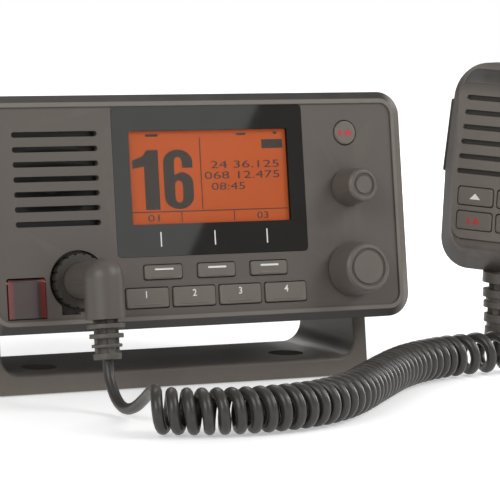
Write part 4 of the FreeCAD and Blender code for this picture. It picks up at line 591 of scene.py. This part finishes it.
class Bench:
    """Operators on one piece at a time."""

    @staticmethod
    def take(piece: bpy.types.Object) -> None:
        """Select only this piece and make it active."""
        bpy.ops.object.select_all(action="DESELECT")
        piece.select_set(True)
        bpy.context.view_layer.objects.active = piece

    @staticmethod
    def modify(piece: bpy.types.Object, kind: str, **settings: object) -> None:
        """Add a modifier, set it and apply it.

        Args:
            piece: the piece to change.
            kind: the modifier's type.
            settings: the modifier's properties.
        """
        Bench.take(piece)
        modifier = piece.modifiers.new(kind.lower(), kind)
        for key, value in settings.items():
            setattr(modifier, key, value)
        bpy.ops.object.modifier_apply(modifier=modifier.name)

    @staticmethod
    def smooth(piece: bpy.types.Object, degrees: float = 35.0) -> None:
        """Shade smooth, with creases kept sharp."""
        Bench.take(piece)
        bpy.ops.object.shade_smooth_by_angle(angle=math.radians(degrees))

    @staticmethod
    def copy_node(node: str, name: str) -> bpy.types.Object:
        """Loose copy of a CAD node with its doubles merged and flat faces made whole.

        Args:
            node: the CAD node.
            name: the new piece's name.

        Returns:
            The new piece.
        """
        piece = bpy.data.objects.new(name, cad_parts[node].data.copy())
        bpy.context.scene.collection.objects.link(piece)
        Bench.take(piece)
        bpy.ops.object.mode_set(mode="EDIT")
        bpy.ops.mesh.select_all(action="SELECT")
        bpy.ops.mesh.remove_doubles(threshold=0.000002)
        bpy.ops.mesh.dissolve_limited(angle_limit=math.radians(0.6))
        bpy.ops.object.mode_set(mode="OBJECT")
        return piece

    @staticmethod
    def seat(piece: bpy.types.Object, place: Place) -> None:
        """Put a piece drawn in a frame on the object, with its place in its mesh."""
        piece.data.transform(place_matrix(place) @ piece.matrix_world)
        piece.matrix_world = Matrix.Identity(4)

    @staticmethod
    def merge(pieces: list[bpy.types.Object], name: str) -> bpy.types.Object:
        """Join pieces into one.

        Args:
            pieces: the pieces, of which the first is kept.
            name: the joined piece's name.

        Returns:
            The joined piece.
        """
        bpy.ops.object.select_all(action="DESELECT")
        for piece in pieces:
            piece.select_set(True)
        bpy.context.view_layer.objects.active = pieces[0]
        if len(pieces) > 1:
            bpy.ops.object.join()
        pieces[0].name = name
        return pieces[0]

    @staticmethod
    def bar(centre: Point, size: Point, corner: float = 0.0) -> bpy.types.Object:
        """Small flat bar in millimetres, with rounded ends where a corner is given.

        Args:
            centre: the bar's centre.
            size: its width, depth and height.
            corner: radius of its corners seen from the front.

        Returns:
            The bar, drawn in its frame in metres.
        """
        bpy.ops.object.select_all(action="DESELECT")
        bpy.ops.mesh.primitive_cube_add(size=1.0, location=Vector(centre) * MM)
        piece = bpy.context.active_object
        piece.scale = Vector(size) * MM
        bpy.ops.object.transform_apply(location=True, rotation=False, scale=True)
        if corner > 0.0:
            bpy.ops.object.mode_set(mode="EDIT")
            bpy.ops.mesh.select_all(action="DESELECT")
            bpy.ops.object.mode_set(mode="OBJECT")
            for edge in piece.data.edges:
                a, b = (piece.data.vertices[i].co for i in edge.vertices)
                edge.select = abs(a.y - b.y) > 0.5 * size[1] * MM
            bpy.ops.object.mode_set(mode="EDIT")
            bpy.ops.mesh.select_mode(type="EDGE")
            bpy.ops.mesh.bevel(offset=corner * MM, segments=4, affect="EDGES")
            bpy.ops.object.mode_set(mode="OBJECT")
        return piece

    @staticmethod
    def fit(piece: bpy.types.Object, left: float, base: float, width: float, height: float,
            front: float) -> bpy.types.Object:
        """Turn a mesh drawn flat on its back upright and fit it to a box on the face.

        Args:
            piece: the mesh.
            left: x of its left side in millimetres.
            base: z of its foot.
            width: its width, or 0 to keep its own shape.
            height: its height.
            front: y of its front face.

        Returns:
            The same piece, drawn in its frame in metres.
        """
        piece.data.transform(turn(90.0, "X"))
        piece.matrix_world = Matrix.Identity(4)
        corners = [v.co for v in piece.data.vertices]
        low = Vector(min(c[i] for c in corners) for i in range(3))
        high = Vector(max(c[i] for c in corners) for i in range(3))
        span = high - low
        tall = height * MM / span.z
        wide = width * MM / span.x if width > 0.0 else tall
        fit = Matrix.Diagonal((wide, 0.05 * MM / span.y, tall, 1.0))
        home = Matrix.Translation(Vector((left, front, base)) * MM)
        piece.data.transform(home @ fit @ Matrix.Translation(-low))
        return piece

    @staticmethod
    def outline(loops: list[list[tuple[float, float]]]) -> bpy.types.Object:
        """Flat plate from closed outlines, of which the inner ones are holes.

        Args:
            loops: the outlines' points.

        Returns:
            The plate as a mesh, drawn flat on its back.
        """
        curve = bpy.data.curves.new("outline", "CURVE")
        curve.dimensions = "2D"
        curve.fill_mode = "BOTH"
        curve.extrude = 0.01
        for loop in loops:
            spline = curve.splines.new("POLY")
            spline.points.add(len(loop) - 1)
            for target, (x, y) in zip(spline.points, loop):
                target.co = (x, y, 0.0, 1.0)
            spline.use_cyclic_u = True
        piece = bpy.data.objects.new("outline", curve)
        bpy.context.scene.collection.objects.link(piece)
        Bench.take(piece)
        bpy.ops.object.convert(target="MESH")
        return bpy.context.active_object

    @staticmethod
    def number(text: str, left: float, base: float, width: float, height: float, front: float,
               bold: float = 0.0) -> bpy.types.Object:
        """Plain number fitted to a width and height in millimetres.

        Args:
            text: the digits.
            left: x of its left side.
            base: z of its foot.
            width: its width, or 0 to keep the digits' own shape.
            height: its height.
            front: y of its front face.
            bold: how far its strokes are thickened, as a share of its size.

        Returns:
            The number as a mesh, drawn in its frame in metres.
        """
        bpy.ops.object.select_all(action="DESELECT")
        bpy.ops.object.text_add()
        piece = bpy.context.active_object
        piece.data.body = text
        piece.data.offset = bold
        piece.data.resolution_u = 3
        piece.data.extrude = 0.01
        bpy.ops.object.convert(target="MESH")
        return Bench.fit(bpy.context.active_object, left, base, width, height, front)


# Studio


@dataclass
class Studio:
    """Camera, lamps, floor and surroundings."""

    location: Point = (-0.4150, -0.9373, 0.1525)
    right: Point = (0.90053, -0.43469, 0.00977)
    up: Point = (0.03522, 0.09533, 0.99482)
    focal_pixels: float = 2719.0
    picture: float = 500.0
    ambient: float = 0.3
    mirrored: float = 0.2
    card_centre: Point = (0.3121, -0.8619, 0.3014)
    card_across: Point = (-0.8121, -0.2805, 0.5117)
    card_back: Point = (0.4276, -0.8828, 0.1947)
    card_size: tuple[float, float] = (0.2, 0.4)
    card_radiance: float = 1.15
    lamp_target: Point = (0.0, -0.05, 0.05)
    lamps: tuple[tuple[str, Point, float, float], ...] = (
        ("key_lamp", (1.0, -0.9, 1.1), 0.8, 10.5),
        ("fill_lamp", (-1.1, -0.9, 0.8), 0.9, 11.0),
        ("back_lamp", (0.2, 1.1, 1.0), 0.8, 8.0),
        ("side_lamp", (1.2, 0.15, 0.35), 0.5, 6.0),
    )

    def place_camera(self) -> None:
        """Put the camera where the photograph was taken from."""
        data = bpy.data.cameras.new("camera")
        data.sensor_width = 36.0
        data.lens = self.focal_pixels * data.sensor_width / self.picture
        data.clip_start = 0.05
        camera = bpy.data.objects.new("camera", data)
        bpy.context.scene.collection.objects.link(camera)
        x, y = Vector(self.right).normalized(), Vector(self.up).normalized()
        z = x.cross(y).normalized()
        turned = Matrix((x, y, z)).transposed().to_4x4()
        camera.matrix_world = Matrix.Translation(Vector(self.location)) @ turned
        bpy.context.scene.camera = camera

    def add_lamp(self, name: str, location: Point, size: float, power: float) -> None:
        """Add a soft area lamp that looks at the object.

        Args:
            name: the lamp's name.
            location: where it stands, in metres.
            size: its side.
            power: its power in watts.
        """
        data = bpy.data.lights.new(name, "AREA")
        data.size = size
        data.energy = power
        lamp = bpy.data.objects.new(name, data)
        bpy.context.scene.collection.objects.link(lamp)
        lamp.location = location
        direction = Vector(self.lamp_target) - Vector(location)
        lamp.rotation_euler = direction.to_track_quat("-Z", "Y").to_euler()

    def add_card(self) -> None:
        """Light card whose slanting edge is mirrored across the display window."""
        data = bpy.data.lights.new("card", "AREA")
        data.shape = "RECTANGLE"
        data.size, data.size_y = self.card_size
        data.energy = self.card_radiance * math.pi * data.size * data.size_y
        card = bpy.data.objects.new("card", data)
        bpy.context.scene.collection.objects.link(card)
        x, z = Vector(self.card_across).normalized(), Vector(self.card_back).normalized()
        turned = Matrix((x, z.cross(x), z)).transposed().to_4x4()
        card.matrix_world = Matrix.Translation(Vector(self.card_centre)) @ turned

    def set_world(self) -> None:
        """White surroundings for what is seen or mirrored, softer ambient light for the rest."""
        world = bpy.data.worlds.new("studio")
        bpy.context.scene.world = world
        world.use_nodes = True
        graph = Graph(world.node_tree)
        background = world.node_tree.nodes["Background"]
        background.inputs["Color"].default_value = (1.0, 1.0, 1.0, 1.0)
        path = graph.add("ShaderNodeLightPath")
        seen = graph.math("MAXIMUM", path.outputs["Is Camera Ray"], path.outputs["Is Transmission Ray"])
        mirrored = graph.math("MULTIPLY", path.outputs["Is Glossy Ray"], self.mirrored)
        seen = graph.math("MAXIMUM", seen, mirrored)
        strength = graph.math("MAXIMUM", seen, self.ambient)
        graph.tree.links.new(strength, background.inputs["Strength"])

    def lay_floor(self) -> None:
        """Pale floor that keeps the object's shadow."""
        bpy.ops.object.select_all(action="DESELECT")
        bpy.ops.mesh.primitive_plane_add(size=6.0, location=(0.0, 0.0, -0.0004))
        floor = bpy.context.active_object
        floor.name = "floor"
        material, graph, shader, coords = open_material("floor")
        haze = graph.noise(coords, 4.0)
        colour = graph.mix(haze, (0.8, 0.8, 0.8), (0.84, 0.84, 0.84))
        graph.tree.links.new(colour, shader.inputs["Base Color"])
        shader.inputs["Roughness"].default_value = 0.9
        distance = graph.add("ShaderNodeVectorMath", {0: coords}, operation="LENGTH").outputs["Value"]
        strength = graph.math("MULTIPLY_ADD", graph.ramp(distance, 0.2, 0.75), 0.6, 0.4)
        glow = graph.add("ShaderNodeEmission", {"Color": (1.0, 1.0, 1.0, 1.0), "Strength": strength})
        path = graph.add("ShaderNodeLightPath")
        both = graph.add("ShaderNodeAddShader", {0: shader.outputs[0], 1: glow.outputs[0]})
        seen = graph.math("MAXIMUM", path.outputs["Is Camera Ray"], path.outputs["Is Glossy Ray"])
        blend = graph.add("ShaderNodeMixShader", {0: seen, 1: shader.outputs[0], 2: both.outputs[0]})
        output = material.node_tree.nodes["Material Output"]
        graph.tree.links.new(blend.outputs[0], output.inputs["Surface"])
        floor.data.materials.append(material)

    def build(self) -> None:
        """Set up the whole studio."""
        bpy.context.scene.view_settings.view_transform = "Standard"
        self.place_camera()
        self.set_world()
        self.lay_floor()
        self.add_card()
        for name, location, size, power in self.lamps:
            self.add_lamp(name, location, size, power)


# Cord


def read_line(name: str, points: list[Vector], resolution: int = 12) -> list[Vector]:
    """Points of a smooth line drawn from control points.

    Args:
        name: name of the short-lived curve.
        points: its control points in metres.
        resolution: steps between control points.

    Returns:
        Points along the curve.
    """
    curve = nurbs_curve(name, points, resolution)
    holder = bpy.data.objects.new(name, curve)
    mesh = bpy.data.meshes.new_from_object(holder)
    line = [v.co.copy() for v in mesh.vertices]
    bpy.data.meshes.remove(mesh)
    bpy.data.objects.remove(holder)
    bpy.data.curves.remove(curve)
    return line


def nurbs_curve(name: str, points: list[Vector], resolution: int) -> bpy.types.Curve:
    """Open smooth curve on control points.

    Args:
        name: the curve's name.
        points: its control points in metres.
        resolution: steps between control points.

    Returns:
        The curve data.
    """
    curve = bpy.data.curves.new(name, "CURVE")
    curve.dimensions = "3D"
    curve.resolution_u = resolution
    spline = curve.splines.new("NURBS")
    spline.points.add(len(points) - 1)
    for target, point in zip(spline.points, points):
        target.co = (*point, 1.0)
    spline.order_u = 3
    spline.use_endpoint_u = True
    return curve


@dataclass
class MicrophoneCord:
    """Free lead from the plug, the curls on the floor and the short rise into the handset."""

    wire: float = 4.0
    curl: float = 16.0
    lift: float = 0.05
    pitch: float = 5.0
    loose_pitch: float = 10.5
    loose_turns: float = 5.0
    rise: float = 4.7
    steps_per_turn: int = 24
    axis_route: tuple[tuple[float, float], ...] = (
        (-54.4, -121.9), (-48.5, -125.4), (-41.5, -128.8), (-32.0, -131.6), (-22.0, -132.6), (-11.5, -131.8),
        (-0.5, -129.0), (10.0, -124.0), (20.0, -116.9), (29.0, -108.2), (47.6, -87.6), (70.0, -63.5),
        (88.0, -50.5), (107.0, -42.6), (131.3, -39.0))
    lead_route: tuple[Point, ...] = (
        (-49.5, -71.6, 9.6), (-49.3, -76.9, 4.2), (-49.2, -84.0, 2.4), (-49.0, -91.8, 4.2),
        (-49.2, -99.6, 8.2), (-50.2, -107.2, 12.0))
    outlet: Point = (-49.4, -23.0, -52.8)

    def advance(self, turns_done: float, turns: float) -> float:
        """Share of the axis used after so many turns, ever looser near the handset."""
        loose = max(0.0, turns_done - (turns - self.loose_turns))
        ease = max(0.0, turns_done - (turns - 0.25)) / 0.25
        opened = (self.loose_pitch - self.pitch) * loose * loose / (2.0 * self.loose_turns)
        return self.pitch * turns_done + opened - self.loose_pitch * 0.125 * ease * ease

    def helix(self) -> list[Vector]:
        """Control points of the curls, in metres.

        Returns:
            Points of the wire's centre from the first curl to the last.
        """
        height = self.curl / 2.0 + self.lift
        axis = read_line("curl_axis", [Vector((x, y, height)) * MM for x, y in self.axis_route], 24)
        walked = [0.0]
        for a, b in zip(axis, axis[1:]):
            walked.append(walked[-1] + (b - a).length)
        length = walked[-1]
        turns = 0.75
        while self.advance(turns + 1.0, turns + 1.0) * MM <= length:
            turns += 1.0
        scale = length / self.advance(turns, turns)
        radius = (self.curl - self.wire) / 2.0 * MM * 1.009
        count = round(turns * self.steps_per_turn)
        points = []
        k = 0
        for i in range(count + 1):
            done = turns * i / count
            s = min(self.advance(done, turns) * scale, length)
            while k < len(walked) - 2 and walked[k + 1] < s:
                k += 1
            share = (s - walked[k]) / (walked[k + 1] - walked[k])
            centre = axis[k].lerp(axis[k + 1], share)
            along = (axis[min(k + 2, len(axis) - 1)] - axis[max(k - 1, 0)]).normalized()
            side = Vector((along.y, -along.x, 0.0)).normalized()
            angle = 2.0 * math.pi * done
            lift = Vector((0.0, 0.0, radius * math.cos(angle)))
            points.append(centre + side * (radius * math.sin(angle)) + lift)
        return points

    def tube(self, name: str, points: list[Vector], resolution: int) -> tuple[bpy.types.Object, list[Vector]]:
        """Round tube along control points.

        Args:
            name: the piece's name.
            points: control points in metres.
            resolution: steps between control points.

        Returns:
            The tube as a mesh, and the points that it follows.
        """
        curve = nurbs_curve(name, points, resolution)
        curve.bevel_depth = self.wire / 2.0 * MM
        curve.bevel_resolution = 4
        curve.use_fill_caps = True
        piece = bpy.data.objects.new(name, curve)
        bpy.context.scene.collection.objects.link(piece)
        Bench.take(piece)
        bpy.ops.object.convert(target="MESH")
        piece = bpy.context.active_object
        Bench.smooth(piece, 60.0)
        return piece, read_line(name + "_line", points, resolution)

    def build(self, store: FinishStore) -> None:
        """Make both stretches of the cord."""
        curls = self.helix()
        heading = (curls[1] - curls[0]).normalized()
        seat = place_matrix(Place.HEAD)
        start = seat @ (Vector(self.outlet) * MM)
        x, y, z = self.outlet
        below = seat @ (Vector((x, y, z - self.wire)) * MM)
        route = [start, below] + [Vector(p) * MM for p in self.lead_route]
        route += [curls[0] - heading * (1.4 * self.wire * MM), curls[0]]
        lead, lead_line = self.tube("microphone_lead", route, 12)
        store.dress(lead, "cord")
        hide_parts("cord_lead")
        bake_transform(lead)
        last = curls[-1]
        curls = curls + [last + Vector((0.0, 0.0, self.rise * share)) * MM for share in (0.35, 0.7, 1.0)]
        coil, coil_line = self.tube("microphone_curls", curls, 2)
        store.dress(coil, "cord")
        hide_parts("cord_coil", "cord_tail")
        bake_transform(coil)
        LOG.info("cord: lead %.3f m, curls %.3f m", line_length(lead_line), line_length(coil_line))


def line_length(line: list[Vector]) -> float:
    """Length of a line of points."""
    return sum((b - a).length for a, b in zip(line, line[1:]))


# Sub-assemblies


def sweep(cx: float, cy: float, rx: float, ry: float, start: float, end: float) -> list[tuple[float, float]]:
    """Points on an ellipse from one angle to another, in degrees."""
    steps = 10
    angles = [math.radians(start + (end - start) * i / steps) for i in range(steps + 1)]
    return [(cx + rx * math.cos(a), cy + ry * math.sin(a)) for a in angles]


def heavy_sixteen() -> list[list[tuple[float, float]]]:
    """Outlines of a heavy 16: a flagged one and an oval six with its bowl as a hole."""
    one = [(0.19, 0.0), (0.43, 0.0), (0.43, 1.0), (0.24, 1.0), (0.17, 0.9), (0.0, 0.83), (0.0, 0.69),
           (0.19, 0.73)]
    outer = [(1.0, 0.69)] + sweep(0.755, 0.79, 0.245, 0.21, 0.0, 180.0)
    outer += sweep(0.755, 0.21, 0.245, 0.21, 180.0, 360.0)
    bowl = sweep(0.8, 0.42, 0.2, 0.2, 0.0, 90.0) + [(0.69, 0.575)]
    hook = sweep(0.755, 0.79, 0.065, 0.085, 180.0, 0.0) + [(0.82, 0.69)]
    hole = sweep(0.755, 0.20, 0.065, 0.09, 180.0, 360.0) + sweep(0.755, 0.40, 0.065, 0.08, 0.0, 180.0)
    return [one, outer + bowl + hook, hole]


@dataclass
class SoftenedNodes:
    """CAD pieces whose sharp edges get the small radius of the real moulding."""

    widths: dict[str, tuple[str, float]] = field(default_factory=lambda: {
        "front_bezel": ("radio", 0.35), "gimbal_bracket": ("bracket", 0.5),
        "gimbal_knob_left": ("gimbal_knob_left", 0.5), "gimbal_knob_right": ("gimbal_knob_right", 0.5),
        "plug_elbow": ("radio", 0.4), "plug_strain_relief": ("radio", 0.3),
        "plug_collar": ("plug_collar", 0.25), "power_key": ("power_key", 0.25),
        "volume_knob": ("volume_knob", 0.3), "select_knob": ("select_knob", 0.3),
        "soft_key_left": ("soft_key_left", 0.2), "soft_key_middle": ("soft_key_middle", 0.2),
        "soft_key_right": ("soft_key_right", 0.2), "main_key_1": ("main_key_1", 0.2),
        "main_key_2": ("main_key_2", 0.2), "main_key_3": ("main_key_3", 0.2),
        "main_key_4": ("main_key_4", 0.2),
        "distress_cover": ("distress_cover", 0.2), "mic_socket": ("radio", 0.2),
        "rear_housing": ("radio", 0.5), "antenna_socket": ("radio", 0.25), "lead_glands": ("radio", 0.3),
        "handset_front_shell": ("handset", 0.6), "handset_rear_shell": ("handset", 0.6),
        "handset_strain_relief": ("handset", 0.3), "ptt_button": ("ptt_button", 0.4),
        "hanger_button": ("handset", 0.4), "up_key": ("up_key", 0.25), "down_key": ("down_key", 0.25),
        "handset_left_key": ("handset_left_key", 0.25), "handset_right_key": ("handset_right_key", 0.25),
    })

    def build(self, store: FinishStore) -> None:
        """Copy, bevel and dress every listed piece."""
        for node, (body, width) in self.widths.items():
            piece = Bench.copy_node(node, node + "_moulded")
            Bench.modify(piece, "BEVEL", width=width * MM, segments=2, limit_method="ANGLE",
                         angle_limit=math.radians(32.0), use_clamp_overlap=True, miter_outer="MITER_ARC")
            Bench.smooth(piece, 40.0)
            Bench.modify(piece, "WEIGHTED_NORMAL", weight=80, keep_sharp=True)
            store.dress(piece, NODE_FINISH[node])
            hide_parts(node)
            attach(piece, body)
            LOG.info("%s: %d faces", piece.name, len(piece.data.polygons))


@dataclass
class Print:
    """A set of flat marks on one body."""

    name: str
    body: str
    finish: str
    slot: str
    place: Place
    bars: list[tuple[float, float, float, float, float]] = field(default_factory=list)
    numbers: list[tuple[str, float, float, float, float, float]] = field(default_factory=list)
    front: float = 0.0
    sixteen: tuple[float, float, float, float] | None = None

    def build(self, store: FinishStore) -> None:
        """Make the marks, join them and seat them.

        Args:
            store: the finishes.
        """
        made = [Bench.bar((x, self.front - 0.01, z), (w, 0.06, h), r) for x, z, w, h, r in self.bars]
        for text, left, base, width, height, bold in self.numbers:
            made.append(Bench.number(text, left, base, width, height, self.front - 0.04, bold))
        if self.sixteen:
            made.append(Bench.fit(Bench.outline(heavy_sixteen()), *self.sixteen, self.front - 0.04))
        piece = Bench.merge(made, self.name)
        Bench.seat(piece, self.place)
        store.dress(piece, self.finish)
        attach(piece, self.body)
        LOG.info("%s: %d faces", piece.name, len(piece.data.polygons))


@dataclass
class FacePrint:
    """What is shown on the display and printed on the face and its keys."""

    display_front: float = 1.5
    soft_keys: tuple[tuple[str, float], ...] = (
        ("soft_key_left", -16.4), ("soft_key_middle", 4.9), ("soft_key_right", 26.2))
    main_keys: tuple[tuple[str, float], ...] = (
        ("main_key_1", -23.15), ("main_key_2", -4.55), ("main_key_3", 14.05), ("main_key_4", 32.65))

    def display(self) -> Print:
        """Large channel number, dividers and small read-outs."""
        bars = [
            (1.6, 13.2, 0.36, 26.4, 0.0), (4.75, -0.5, 63.0, 0.36, 0.0),
            (-7.0, -2.6, 0.36, 3.9, 0.0), (14.2, -2.6, 0.36, 3.9, 0.0), (31.1, 23.6, 8.6, 3.3, 0.0),
            (-17.5, 27.4, 5.0, 0.9, 0.0), (18.5, 27.4, 3.8, 0.8, 0.0), (32.5, 27.6, 1.4, 0.9, 0.0),
        ]
        numbers = [
            ("24 36.125", 5.6, 14.9, 28.0, 2.7, 0.0),
            ("068 12.475", 3.0, 11.0, 30.6, 2.7, 0.0), ("08:45", 5.6, 6.9, 13.6, 2.7, 0.0),
            ("01", -20.5, -4.0, 4.6, 2.5, 0.0), ("03", 23.5, -4.0, 4.6, 2.5, 0.0),
        ]
        return Print("display_ink", "radio", "ink", "display_orange", Place.HEAD, bars, numbers,
                     self.display_front, (-25.6, 0.3, 23.9, 21.8))

    def build(self, store: FinishStore) -> None:
        """Make every mark of the face."""
        self.display().build(store)
        ticks = [(x, -10.55, 0.45, 5.3, 0.0) for x in (-16.4, 5.2, 26.4)]
        Print("window_ticks", "radio", "white_print", "frame_white", Place.HEAD, ticks, [], -0.0).build(store)
        for key, x in self.soft_keys:
            dash = [(x + 0.1, -21.35, 7.4, 0.7, 0.3)]
            Print(key + "_mark", key, "white_print", "frame_white", Place.HEAD, dash, [], -0.8).build(store)
        for i, (key, x) in enumerate(self.main_keys):
            digit = [(str(i + 1), x - 0.8, -31.6, 0.0, 2.5, 0.01)]
            mark = Print(key + "_mark", key, "white_print", "frame_white", Place.HEAD, [], digit, -0.8)
            mark.build(store)
        red = [("16", 58.2, 25.7, 5.4, 2.6, 0.02)]
        mark = Print("power_key_mark", "power_key", "red_print", "distress_red", Place.HEAD, [], red, -0.8)
        mark.build(store)


@dataclass
class HandPrint:
    """Marks on the handset's keys."""

    def build(self, store: FinishStore) -> None:
        """Make the arrows and the red numbers."""
        for key, side in (("up_key", -1.0), ("down_key", 1.0)):
            arrow = self.arrow(side * 8.3, -11.0, -side)
            arrow.name = key + "_mark"
            Bench.seat(arrow, Place.HAND)
            store.dress(arrow, "white_print")
            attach(arrow, key)
        floors = [(0.0, 27.0 - 5.7 * i, 29.2 + i, 2.2, 1.0) for i in range(6)]
        Print("handset_slot_floors", "handset", "slot_floor", "handset_plastic", Place.HAND, floors, [],
              1.2).build(store)
        red = [("16", -10.9, -21.8, 5.2, 2.6, 0.02)]
        Print("handset_left_key_mark", "handset_left_key", "red_print", "distress_red", Place.HAND, [], red,
              -1.1).build(store)

    def arrow(self, x: float, z: float, way: float) -> bpy.types.Object:
        """Small flat arrow head.

        Args:
            x: its centre.
            z: its middle height.
            way: 1 points up, -1 down.

        Returns:
            The arrow, drawn in the handset's frame.
        """
        piece = Bench.bar((x, -1.11, z), (4.6, 0.06, 2.2))
        for vertex in piece.data.vertices:
            if (vertex.co.z - z * MM) * way > 0.0:
                vertex.co.x = x * MM + (vertex.co.x - x * MM) * 0.06
        return piece


def dress_nodes(store: FinishStore) -> None:
    """Give every CAD node its finish.

    Args:
        store: the finishes.
    """
    for node, key in NODE_FINISH.items():
        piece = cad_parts[node]
        material = store.get(key)
        for slot in piece.material_slots:
            slot.material = material
        if not piece.material_slots:
            piece.data.materials.append(material)


def main() -> None:
    """Build the studio, the cord and every piece's looks."""
    logging.basicConfig(level=logging.INFO, format="%(message)s")
    build_shared_groups()
    store = FinishStore()
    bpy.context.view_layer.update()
    Studio().build()
    dress_nodes(store)
    SoftenedNodes().build(store)
    MicrophoneCord().build(store)
    FacePrint().build(store)
    HandPrint().build(store)


if __name__ == "__main__":
    main()
